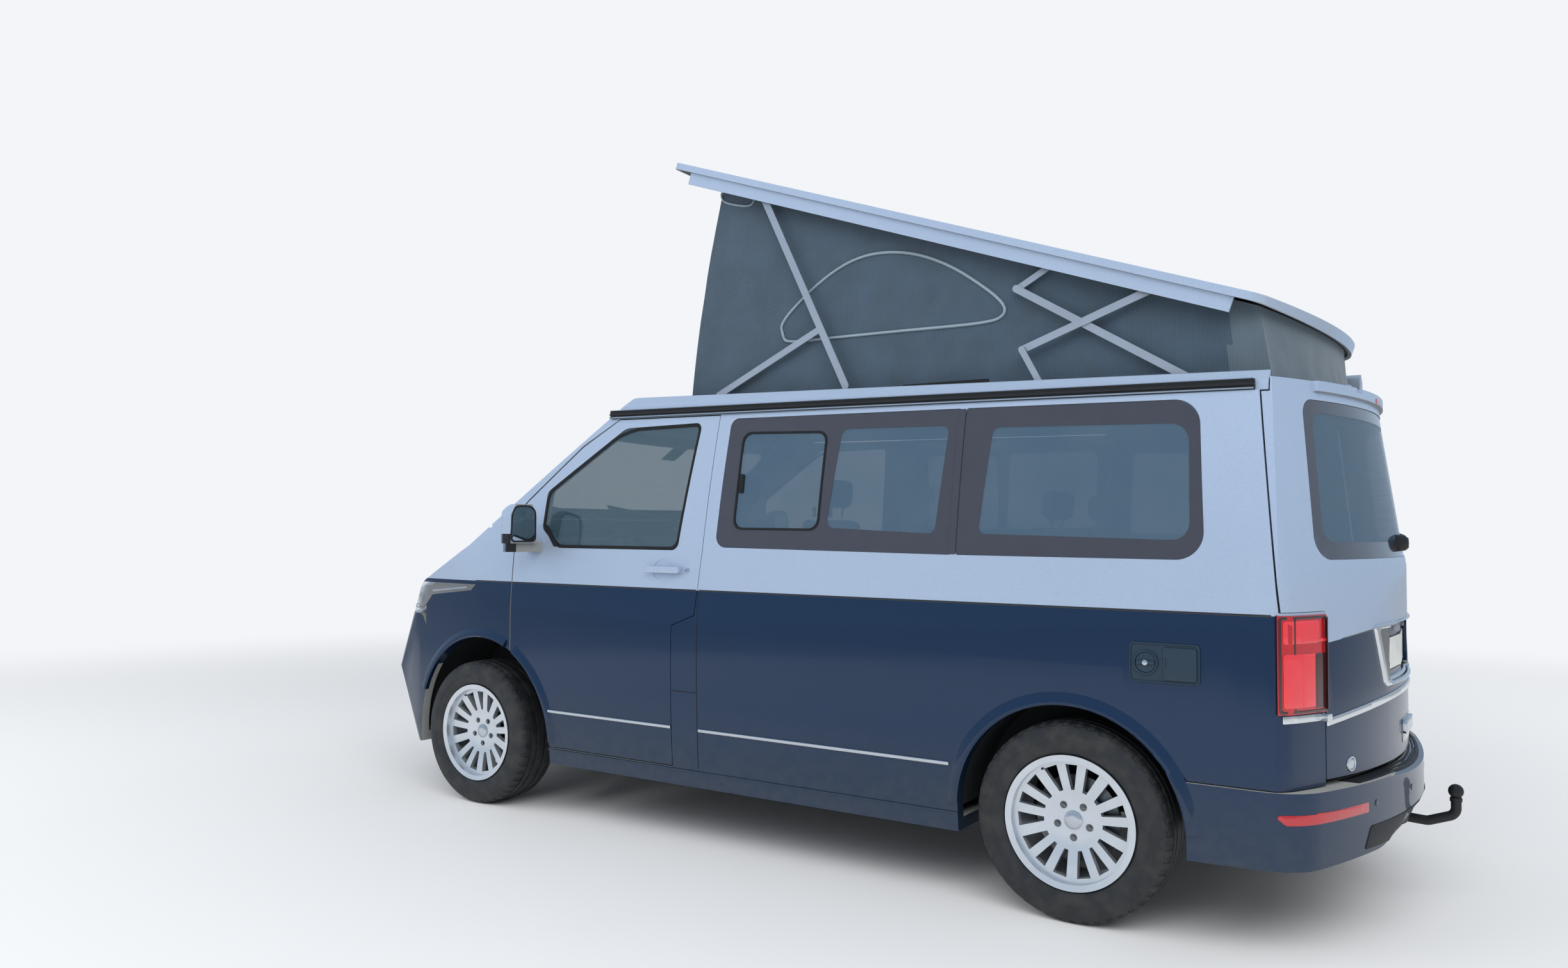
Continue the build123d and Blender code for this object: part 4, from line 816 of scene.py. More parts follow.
class Smoothing:
    """Modifier that joins a CAD node's loose triangles and shades its curved faces smooth."""

    crease = 27.0
    join_gap = 0.00002
    lining_turn = -0.35
    core_height = 1.1

    def __init__(self) -> None:
        """Make the two shared node groups."""
        self.plain = self.make("smooth_cad_faces", False)
        self.lined = self.make("smooth_and_line_cad_faces", True)

    def make(self, name: str, lining: bool) -> bpy.types.NodeTree:
        """Make one node group.

        Args:
            name: Name of the group.
            lining: Whether faces that look into the van take the lining.

        Returns:
            The group.
        """
        group = bpy.data.node_groups.new(name, "GeometryNodeTree")
        group.interface.new_socket("Geometry", in_out="INPUT", socket_type="NodeSocketGeometry")
        group.interface.new_socket("Geometry", in_out="OUTPUT", socket_type="NodeSocketGeometry")
        add = partial(add_node, group)
        entry = add("NodeGroupInput")
        merged = add("GeometryNodeMergeByDistance", {"Geometry": entry, "Distance": self.join_gap})
        smooth = add("GeometryNodeSetShadeSmooth", {0: merged, 2: True})
        angle = add("GeometryNodeInputMeshEdgeAngle")
        steep = add("Math", {0: angle, 1: math.radians(self.crease)}, operation="GREATER_THAN")
        crisp = add("GeometryNodeSetShadeSmooth", {0: smooth, 1: steep, 2: False}, domain="EDGE")
        if not lining:
            add("NodeGroupOutput", {0: crisp})
            return group
        # Faces that look into the van take the lining, as a sheet has paint only outside
        where = add("GeometryNodeInputPosition")
        reach = add("VectorMath", {0: where, 1: (0.45, 1.0, 1.0)}, operation="MULTIPLY")
        spread = add("VectorMath", {0: reach, 1: (0.0, 0.0, self.core_height)}, operation="SUBTRACT")
        normal = add("GeometryNodeInputNormal")
        facing = add("VectorMath", {0: spread, 1: normal}, operation="DOT_PRODUCT")
        inside = add("Math", {0: facing.outputs["Value"], 1: self.lining_turn}, operation="LESS_THAN")
        lined = add("GeometryNodeSetMaterial", {"Geometry": crisp, "Selection": inside})
        lined.inputs["Material"].default_value = LINING.material()
        add("NodeGroupOutput", {0: lined})
        return group

    def dress(self, node: Item, finish: Finish) -> None:
        """Give a CAD node its finish and smooth shading."""
        node.data.materials.clear()
        node.data.materials.append(finish.material())
        painted = isinstance(finish, Lacquer)
        if painted:
            node.data.materials.append(LINING.material())
        modifier = node.modifiers.new("smooth", "NODES")
        modifier.node_group = self.lined if painted else self.plain


# Sub-assemblies


@dataclass
class Studio:
    """Pale floor, soft lamps and the camera where the photograph was taken."""

    eye: Point3 = (-2879.0, 4765.0, 1363.0)
    yaw: float = 33.72
    pitch: float = 2.12
    roll: float = 0.278
    lens: float = 26.134
    floor_colour: str = "#f2f3f4"

    def camera(self) -> None:
        """Place the camera and make it the scene's."""
        data = bpy.data.cameras.new("view")
        data.lens = self.lens
        data.sensor_width = 36.0
        data.clip_end = 200.0
        item = bpy.data.objects.new("view", data)
        bpy.context.scene.collection.objects.link(item)
        yaw, pitch, roll = (math.radians(a) for a in (self.yaw, self.pitch, self.roll))
        ahead = Vector((math.cos(pitch) * math.sin(yaw), -math.cos(pitch) * math.cos(yaw), math.sin(pitch)))
        right = ahead.cross(UP).normalized()
        up = right.cross(ahead)
        rolled = right * math.cos(roll) + up * math.sin(roll)
        risen = up * math.cos(roll) - right * math.sin(roll)
        turn = Matrix((rolled, risen, -ahead)).transposed()
        item.matrix_world = Matrix.Translation(place(*self.eye)) @ turn.to_4x4()
        bpy.context.scene.camera = item

    def lamp(
        self, name: str, spot: Point3, size: float, power: float, aim: Point3 = (0.0, 0.0, 900.0),
    ) -> None:
        """Hang one soft box that looks at a point."""
        data = bpy.data.lights.new(name, "AREA")
        data.shape = "RECTANGLE"
        data.size = size * 1.8
        data.size_y = size
        data.energy = power
        item = bpy.data.objects.new(name, data)
        item.visible_glossy = False
        bpy.context.scene.collection.objects.link(item)
        way = place(*aim) - place(*spot)
        turn = way.to_track_quat("-Z", "Y").to_matrix().to_4x4()
        item.matrix_world = Matrix.Translation(place(*spot)) @ turn

    def world(self) -> None:
        """Even pale surroundings; eyes, gloss and glass see them white."""
        surroundings = bpy.data.worlds.new("studio")
        bpy.context.scene.world = surroundings
        surroundings.use_nodes = True
        tree = surroundings.node_tree
        tree.nodes.clear()
        add = partial(add_node, tree)
        path = add("LightPath")
        first = add(
            "Math", {0: path.outputs["Is Camera Ray"], 1: path.outputs["Is Transmission Ray"]},
            operation="MAXIMUM",
        )
        soft = add("Background", {0: linear("#eef1f5"), 1: 0.5})
        white = add("Background", {0: linear("#f3f5f8"), 1: 1.0})
        glossy = add("Background", {0: linear("#c2d8f0"), 1: 0.75})
        lit = add("MixShader", {0: path.outputs["Is Glossy Ray"], 1: soft, 2: glossy})
        seen = add("MixShader", {0: first, 1: lit, 2: white})
        add("OutputWorld", {0: seen})

    def floor(self) -> None:
        """Painted floor that fades to the white surroundings in the distance."""
        bm = bmesh.new()
        bmesh.ops.create_circle(bm, cap_ends=True, segments=96, radius=60.0)
        mesh = bpy.data.meshes.new("floor")
        bm.to_mesh(mesh)
        bm.free()
        item = bpy.data.objects.new("floor", mesh)
        bpy.context.scene.collection.objects.link(item)
        material = bpy.data.materials.new("painted_studio_floor")
        material.use_nodes = True
        tree = material.node_tree
        tree.nodes.clear()
        add = partial(add_node, tree)
        spot = add("TexCoord")
        far = add("VectorMath", {0: spot.outputs["Object"]}, operation="LENGTH")
        share = add("MapRange", {0: far.outputs["Value"], 1: 4.0, 2: 11.0}, interpolation_type="SMOOTHSTEP")
        path = add("LightPath")
        eyes = add(
            "Math", {0: path.outputs["Is Camera Ray"], 1: path.outputs["Is Transmission Ray"]},
            operation="MAXIMUM",
        )
        seen = add("Math", {0: share, 1: eyes}, operation="MULTIPLY")
        grain = add("TexNoise", {"Vector": spot.outputs["Object"], "Scale": 3.0, "Detail": 6.0})
        rough = add("MapRange", {0: grain, 3: 0.7, 4: 0.9})
        paint = add("BsdfPrincipled", {"Base Color": linear(self.floor_colour), "Roughness": rough})
        white = add("Emission", {0: linear("#f3f5f8"), 1: 1.0})
        mixed = add("MixShader", {0: seen, 1: paint, 2: white})
        add("OutputMaterial", {"Surface": mixed})
        mesh.materials.append(material)

    def build(self) -> None:
        """Set the stage."""
        self.camera()
        self.world()
        self.floor()
        self.lamp("key_box", (-4200.0, 6200.0, 6200.0), 5.0, 470.0)
        self.lamp("fill_box", (5200.0, 4800.0, 4200.0), 5.0, 240.0)
        self.lamp("back_box", (-5200.0, -5200.0, 4600.0), 5.0, 200.0)
        bpy.context.scene.view_settings.view_transform = "Standard"


@dataclass
class FrameFinishes:
    """Finish of each CAD node that stays in view."""

    nodes: dict[str, Any]

    def build(self) -> None:
        """Dress every node."""
        corners = ("front_left", "front_right", "rear_left", "rear_right")
        finishes: dict[Finish, tuple[str, ...]] = {
            TWO_TONE: (
                "side_panel_left", "side_panel_right", "sliding_door", "door_left", "door_right",
                "front_wings", "tailgate",
            ),
            SILVER: ("roof_frame", "roof_shell", "windscreen_frame", "bonnet"),
            BUMPER_BLUE: ("front_bumper", "rear_bumper"),
            GLOSS_BLACK: ("front_grille",),
            UNDERSEAL: ("floor_pan",),
            CAB_GLASS: ("windscreen", "door_glass_left", "door_glass_right"),
            REAR_GLASS: ("side_windows", "tailgate_glass"),
            CLEAR_LENS: ("headlights",),
            RED_LENS: ("tail_lights",),
            PLASTIC: ("tow_bar", "roof_rails", "steering_wheel"),
            MIRROR_SHELL: ("mirror_left", "mirror_right"),
            TRIM_GREY: ("dashboard",),
            SEAT_CLOTH: ("seats",),
            CABINET: ("kitchen_unit",),
            CASTING: ("engine_block",),
            STEEL: ("front_subframe", "rear_axle", "knuckle_left", "knuckle_right"),
            CANVAS: ("roof_bellows",),
            ALUMINIUM: (
                "awning", "front_long_arms", "front_short_arms", "rear_roof_arms", "rear_body_arms",
                "rear_body_links", "rear_roof_links",
            ),
            TYRE: tuple("tyre_" + corner for corner in corners),
            ALLOY: tuple("rim_" + corner for corner in corners),
        }
        smoothing = Smoothing()
        for finish, names in finishes.items():
            for name in names:
                smoothing.dress(self.nodes[name], finish)
                LOG.info("node %s: %s", name, finish.label)


@dataclass
class Tent:
    """Canvas walls between the roof frame and the raised shell, with piped windows."""

    half: float = 722.0
    foot_level: float = 1872.1
    foot_slope: float = 0.02409
    top_front: Point2 = (141.8, 2912.0)
    top_slope: float = 0.3517
    rear_x: float = -2274.0
    rear_bow: float = 1950.0
    rear_lean: float = 0.16
    rows: int = 46
    side_steps: int = 110
    end_steps: int = 44
    keep: float = 0.06
    front_levels: Point2 = (1881.0, 2911.0)
    front_run: Point3 = (328.0, 98.0, 89.0)
    lean_level: float = 1862.0
    hang: float = 7.0
    wrinkles: Point3 = (3.0, 4.0, 3.5)
    rear_hang: Point2 = (8.0, 9.0)
    front_hang: Point2 = (9.0, 7.0)

    def edge_front(self, share: float) -> Point2:
        """Front edge's (x, z) at a share of the height."""
        foot, top = self.front_levels
        start, slope, bow = self.front_run
        return start - slope * share - bow * share * share, foot + (top - foot) * share

    def edge_rear(self, share: float, y: float) -> Point2:
        """Rear edge's (x, z) at a share of the height, on its bow."""
        x = self.rear_x + self.rear_bow - math.sqrt(self.rear_bow**2 - y * y)
        low = self.foot_level + self.foot_slope * x
        high = self.top_front[1] + (x - self.top_front[0]) * self.top_slope
        z = low + (high - low) * share
        return x + self.rear_lean * (z - self.lean_level), z

    def ring(self, share: float) -> list[Vector]:
        """Places round the walls at a share of the height, from the front left corner."""
        spots: list[Vector] = []
        front_x, front_z = self.edge_front(share)
        rear_x, rear_z = self.edge_rear(share, self.half)
        swell = math.sin(math.pi * share)
        waves, creases, tucks = self.wrinkles
        for side in (1.0, -1.0):
            run = []
            for i in range(self.side_steps + 1):
                f = i / self.side_steps
                x = front_x + (rear_x - front_x) * f
                z = front_z + (rear_z - front_z) * f
                pull = self.hang * swell * math.sin(math.pi * min(1.0, f * 1.05)) ** 0.7
                end = max(0.0, 1.0 - min(f, 1.0 - f) / 0.10)
                ripple = noise.noise(Vector((x * 0.004, side * 3.0, z * 0.0022)))
                crease = noise.noise(Vector((x * 0.009 + z * 0.006, side * 7.0, (z - x * 0.35) * 0.0016)))
                tuck = noise.noise(Vector((x * 0.03, side * 5.0, z * 0.004))) * end
                depth = pull + swell * (waves * ripple + creases * abs(crease) + tucks * tuck)
                run.append(place(x, side * (self.half - max(0.0, depth)), z))
            if side > 0:
                spots.extend(run)
                for i in range(1, self.end_steps):
                    y = self.half * (1.0 - 2.0 * i / self.end_steps)
                    x, z = self.edge_rear(share, y)
                    fold = noise.noise(Vector((y * 0.012, z * 0.006, 2.0)))
                    spots.append(place(x + swell * (self.rear_hang[0] + self.rear_hang[1] * abs(fold)), y, z))
            else:
                spots.extend(reversed(run))
        for i in range(1, self.end_steps):
            y = -self.half * (1.0 - 2.0 * i / self.end_steps)
            fold = noise.noise(Vector((y * 0.006, front_z * 0.003, 8.0)))
            hang = self.front_hang[0] + self.front_hang[1] * abs(fold)
            spots.append(place(front_x - swell * hang, y, front_z))
        return spots

    def squashed(self, piece: Item) -> None:
        """Give a tent piece a mesh of its own."""
        anchor = tuple(place(0.0, 0.0, self.foot_level))
        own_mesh(piece)

    def piping(self, cloth: Skin, name: str, points: Sequence[Point2], side: Side, radius: float) -> Item:
        """Lay a piped seam on a side wall.

        Args:
            cloth: The walls' surface.
            name: Name of the piece.
            points: Corners of the seam's line as (x, z).
            side: Side of the van.
            radius: Radius of the cord in the seam.

        Returns:
            The piece.
        """
        curve = bpy.data.curves.new(name, "CURVE")
        spline = curve.splines.new("NURBS")
        spline.points.add(len(points) - 1)
        for point, (x, z) in zip(spline.points, points):
            point.co = (x, 0.0, z, 1.0)
        spline.order_u = 3
        spline.use_cyclic_u = True
        curve.resolution_u = 6
        holder = bpy.data.objects.new(name, curve)
        line = bpy.data.meshes.new_from_object(holder)
        flat = [v.co.copy() for v in line.vertices]
        bpy.data.objects.remove(holder)
        bpy.data.curves.remove(curve)
        bpy.data.meshes.remove(line)
        path = []
        for spot in flat:
            touch, out = cloth.touch(side, spot.x, spot.z)
            path.append(touch + out * (0.6 * radius * MM))
        seam = swept(path, tube_section(radius, 6), ASIDE, closed=True)
        return make_piece(seam, name, "body", PIPING, "tent")

    def build(self) -> None:
        rings = [self.ring(i / self.rows) for i in range(self.rows + 1)]
        bm = lofted(rings, capped=False)
        area = sum(f.calc_area() for f in bm.faces)
        walls = make_piece(bm, "tent_walls", "body", CANVAS, "tent", 60.0)
        # The rear wall takes the lighter copy of the same canvas, as painted light where the sky lights it
        # more
        walls.data.materials.append(CANVAS_PAINTED_LIGHT.material())
        for face in walls.data.polygons:
            if face.center.x < place(-2000.0, 0.0, 0.0).x:
                face.material_index = 1
        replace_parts(walls, "roof_bellows")
        cloth = Skin(walls)
        window = (
            (-169, 2183), (-157, 2242), (-347, 2392), (-540, 2482), (-754, 2474), (-940, 2402), (-1089, 2298),
            (-1183, 2216), (-1186, 2170), (-1120, 2146), (-700, 2151), (-330, 2150), (-186, 2150),
        )
        vent = ((161, 2866), (163, 2826), (132, 2801), (26, 2771), (-12, 2776), (-22, 2818), (60, 2838))
        seams = []
        for side, word in ((LEFT, "left"), (RIGHT, "right")):
            seams.append(self.piping(cloth, "tent_window_piping_" + word, window, side, 6.0))
            seams.append(self.piping(cloth, "tent_vent_piping_" + word, vent, side, 4.5))
        for piece in [walls, *seams]:
            self.squashed(piece)


@dataclass
class Wheel:
    """Road wheel: grooved tyre, bolts, plain cap and valve on the CAD rim."""

    corner: str
    x: float
    side: float
    radius: float = 345.0
    track_half: float = 814.0
    hub_face: float = 60.0
    bolt_circle: float = 60.0
    steps: int = 96
    cut_from: float = 331.0
    cut_band: Point2 = (76.0, 112.0)
    cut_inset: float = 2.2
    cut_depth: float = 3.5
    valve_circle: float = 198.0
    valve_turn: float = 0.55

    def tread(self) -> list[Point2]:
        """Half of the tyre's section as (radius, distance from the middle)."""
        rows = [(self.radius, 3.0)]
        for groove in (26.0, 66.0):
            rows += [(self.radius - 0.3, groove - 6.0), (self.radius - 8.0, groove - 4.5)]
            rows += [(self.radius - 8.0, groove + 4.5), (self.radius - 0.8, groove + 6.0)]
        rows += [(self.radius - 3.0, 92.0), (self.radius - 7.0, 101.0), (self.radius - 15.0, 109.0)]
        rows += [
            (318.0, 113.5), (300.0, 116.2), (284.0, 117.3), (281.0, 115.6), (262.0, 115.8), (246.0, 112.5)
        ]
        rows += [(238.0, 108.0), (236.5, 102.0), (231.0, 100.5), (224.5, 98.0), (223.0, 92.0)]
        return rows

    def tyre(self) -> None:
        """Tyre with four grooves and cut shoulders, in place of the CAD tyre."""
        half = self.tread()
        profile = half + [(r, -w) for r, w in reversed(half)]
        centre = place(self.x, self.side * self.track_half, self.radius)
        bm = turned(profile, Vector((0, 0, 0)), UP, self.steps)
        bmesh.ops.bridge_loops(bm, edges=[e for e in bm.edges if e.is_boundary])
        bmesh.ops.recalc_face_normals(bm, faces=bm.faces)
        cuts = []
        inner, outer = self.cut_band
        for face in bm.faces:
            middle = face.calc_center_median()
            turn = math.atan2(middle.y, middle.x)
            number = round((turn % math.tau) / math.tau * self.steps - 0.5)
            reach = math.hypot(middle.x, middle.y) / MM
            if number % 2 == 0 and reach > self.cut_from and inner < abs(middle.z) / MM < outer:
                cuts.append(face)
        for face in cuts:
            bmesh.ops.inset_individual(bm, faces=[face], thickness=self.cut_inset * MM, depth=0.0)
            inward = face.calc_center_median()
            drop = Vector((inward.x, inward.y, inward.z * 0.5)).normalized() * (-self.cut_depth * MM)
            bmesh.ops.translate(bm, verts=face.verts, vec=drop)
        turn = UP.rotation_difference(ASIDE).to_matrix().to_4x4()
        bmesh.ops.transform(bm, matrix=Matrix.Translation(centre) @ turn, verts=bm.verts)
        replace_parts(self.piece(bm, "tread_tyre", TYRE, "tyre"), "tyre_" + self.corner)

    def piece(self, bm: Mesh, name: str, finish: Finish, slot: str) -> Item:
        """Make a piece that turns with the wheel and is named after its corner."""
        return make_piece(bm, name + "_" + self.corner, "wheel_" + self.corner, finish, slot, 30.0)

    def fasteners(self) -> None:
        """Five bolts, the plain cap and the valve."""
        out = Vector((0, self.side, 0))
        face_y = self.side * (self.track_half + self.hub_face)
        parts = []
        for i in range(5):
            a = math.radians(72 * i + 36)
            spot = place(
                self.x + self.bolt_circle * math.sin(a), face_y, self.radius + self.bolt_circle * math.cos(a)
            )
            head = turned([(0.0, 7.0), (5.0, 7.5), (8.6, 6.0), (8.6, -12.0), (0.0, -12.0)], spot, out, 6)
            seat = turned(
                [(9.0, 1.2), (12.5, 1.4), (13.2, 0.3), (13.2, -0.4), (9.0, -0.4), (9.0, 1.2)], spot, out, 24
            )
            parts += [head, seat]
        self.piece(joined(*parts), "wheel_bolts", STEEL, "wheel")
        cap = [
            (0.0, 8.5), (15.0, 8.2), (24.0, 6.8), (27.5, 5.0), (29.5, 5.6), (32.0, 4.2), (33.0, 0.5),
            (33.0, -3.0), (0.0, -3.0),
        ]
        centre = place(self.x, face_y, self.radius)
        self.piece(turned(cap, centre, out, 40), "wheel_cap", SATIN_CHROME, "wheel")
        high = self.radius + self.valve_circle * math.cos(self.valve_turn)
        stem = place(self.x + self.valve_circle * math.sin(self.valve_turn), face_y + self.side * 8.0, high)
        valve = turned(
            [(0.0, 20.0), (3.6, 19.0), (4.2, 8.0), (5.5, 6.0), (6.0, -30.0), (0.0, -30.0)], stem, out, 12
        )
        self.piece(valve, "tyre_valve", SEAL, "tyre")

    def build(self) -> None:
        """Build the wheel's pieces."""
        self.tyre()
        self.fasteners()


DOOR_WINDOW: tuple[Row, ...] = (
    (233, 1256, 40), (945, 1256, 30), (1060, 1345, 30), (1048, 1520, 40), (600, 1806, 90), (160, 1812, 30)
)
REAR_WINDOW: tuple[Row, ...] = ((-1074, 1260, 12), (-1086, 1808, 12), (-1932, 1795, 90), (-1962, 1258, 90))
WINDSCREEN: tuple[Row, ...] = ((-800, 1392, 70), (800, 1392, 70), (712, 1826, 70), (-712, 1826, 70))
TAIL_WINDOW: tuple[Row, ...] = ((-782, 1262, 70), (782, 1262, 70), (716, 1792, 60), (-716, 1792, 60))


def both_sides(bm: Mesh, name: str, bodies: Bodies, finish: Finish, slot: str = "trim") -> None:
    """Make a left piece and its mirrored twin.

    Args:
        bm: The left piece's mesh.
        name: Name to which the side is added.
        bodies: Body on the left and on the right.
        finish: Finish of both.
        slot: Material slot of both, passed on; not used.
    """
    twin = mirrored(bm)
    make_piece(bm, name + "_left", bodies[0], finish, slot)
    make_piece(twin, name + "_right", bodies[1], finish, slot)


BODY = ("body", "body")
DOORS = ("door_left", "door_right")


@dataclass
class Glazing:
    """Fired borders, seals, the sliding vent pane and the windscreen's fittings."""

    nodes: dict[str, Any]
    split: float = -495.0
    border: tuple[float, float] = (0.2, 0.8)

    def sides(self) -> None:
        """Borders of the fixed side panes and the vent pane's frame."""
        glass = Skin(self.nodes["side_windows"])
        low, high = self.border
        vent = [(-57, 1352, 40), (-69, 1756, 40), (-481, 1744, 40), (-470, 1350, 40)]
        ahead = [(31, 1273, 50), (3, 1821, 40), (self.split, 1815, 2), (self.split, 1267, 2)]
        behind = [(self.split, 1267, 2), (self.split, 1815, 2), (-1069, 1807, 12), (-1057, 1261, 12)]
        clear = [(-511, 1358, 30), (-552, 1752, 30), (-1021, 1744, 30), (-986, 1337, 30)]
        back = [(-1161, 1339, 25), (-1199, 1730, 25), (-1899, 1714, 60), (-1912, 1322, 60)]
        rings = [
            glass.lay(framed(ahead, vent, low, high), LEFT),
            glass.lay(framed(behind, clear, low, high), LEFT),
            glass.lay(framed(drawn_in(REAR_WINDOW, 1.0), back, low, high), LEFT),
        ]
        both_sides(joined(*rings), "side_glass_border", BODY, FRIT, "glass")
        frame = framed(drawn_in(vent, -5.0), drawn_in(vent, 4.0), 0.0, 4.0, 1.0)
        grip = slab(rounded_box(-92, -70, 1500, 1580, 8), 0.5, 7.0, 2.0)
        both_sides(joined(glass.lay(frame, LEFT), glass.lay(grip, LEFT)), "vent_pane_frame", BODY, SEAL)
        bar = slab([(-1075, 1262, 2), (-1086, 1806, 2), (-1062, 1806, 2), (-1051, 1262, 2)], -6.0, 1.2, 0.5)
        panel = Skin(self.nodes["side_panel_left"])
        both_sides(panel.lay(bar, LEFT, 30.0), "pane_joint", BODY, FRIT, "glass")

    def doors(self) -> None:
        """Seals of the front door windows and the black foot behind the mirror."""
        glass = Skin(self.nodes["door_glass_left"])
        seal = framed(drawn_in(DOOR_WINDOW, 1.0), drawn_in(DOOR_WINDOW, 15.0), -1.0, 3.0, 1.0)
        foot = slab([(1058, 1368, 3), (1030, 1362, 3), (940, 1262, 3), (976, 1262, 3)], -1.0, 6.0, 2.0)
        both_sides(joined(glass.lay(seal, LEFT), glass.lay(foot, LEFT)), "door_window_seal", DOORS, SEAL)

    def ends(self) -> None:
        """Borders of the windscreen and the tailgate's pane, with sensors and wipers."""
        screen = Skin(self.nodes["windscreen"])
        low, high = self.border
        clear = [(-742, 1452, 50), (742, 1452, 50), (668, 1776, 50), (-668, 1776, 50)]
        make_piece(
            screen.lay(framed(drawn_in(WINDSCREEN, 1.0), clear, low, high), FRONT), "windscreen_border",
            "body", FRIT, "glass",
        )
        sensor = slab(rounded_box(-60, 60, 1715, 1780, 14), low, high)
        make_piece(screen.lay(sensor, FRONT), "windscreen_sensor_field", "body", FRIT, "glass")
        arms = []
        for start, end in (((-560, 1404), (60, 1470)), ((60, 1402), (640, 1470))):
            spots = []
            for i in range(13):
                f = i / 12
                touch, out = screen.touch(
                    FRONT, start[0] + (end[0] - start[0]) * f, start[1] + (end[1] - start[1]) * f
                )
                spots.append(touch + out * 0.012)
            arms.append(swept(spots, [(-5, -4), (5, -4), (4, 5), (-4, 5)], Vector((1, 0, 0.6))))
            arms.append(
                swept(
                    [s - Vector((0.004, 0, 0.006)) for s in spots[3:]], [(-9, -2), (9, -2), (3, 4), (-3, 4)],
                    Vector((1, 0, 0.6)),
                ),
            )
            arms.append(
                turned([(0, 26), (14, 24), (20, 16), (22, -8), (0, -8)], spots[0], Vector((0.8, 0, 0.6)), 24),
            )
        make_piece(joined(*arms), "front_wipers", "body", PLASTIC)
        tail = Skin(self.nodes["tailgate_glass"])
        inner = [(-722, 1318, 60), (722, 1318, 60), (668, 1748, 55), (-668, 1748, 55)]
        make_piece(
            tail.lay(framed(drawn_in(TAIL_WINDOW, 1.0), inner, low, high), REAR), "tailgate_glass_border",
            "tailgate", FRIT, "glass",
        )
        touch, out = tail.touch(REAR, 60, 1312)
        hub = turned([(0, 40), (18, 38), (27, 28), (30, 10), (31, -3), (0, -3)], touch, out, 32)
        path = []
        for i in range(11):
            spot, way = tail.touch(REAR, 60 - 52 * i, 1316 + 2.4 * i)
            path.append(spot + way * (0.022 if i < 3 else 0.014))
        arm = swept(path, [(-8, -5), (8, -5), (6, 7), (-6, 7)], UP)
        blade = swept(
            [p + Vector((0.006, 0, 0)) for p in path[3:]], [(-11, -3), (11, -3), (4, 3), (-4, 3)], UP
        )
        make_piece(joined(hub, arm, blade), "rear_wiper", "tailgate", PLASTIC)
        wires = []
        for k in range(11):
            z = 1362 + 34 * k
            wire = slab(rounded_box(-655 + k * 3, 655 - k * 3, z, z + 2.0, 0.5), -6.6, -6.2)
            wires.append(tail.lay(wire, REAR, 120.0))
        make_piece(joined(*wires), "rear_heating_wires", "tailgate", AMBER_WIRE, "glass")

    def build(self) -> None:
        """Build all window pieces."""
        self.sides()
        self.doors()
        self.ends()


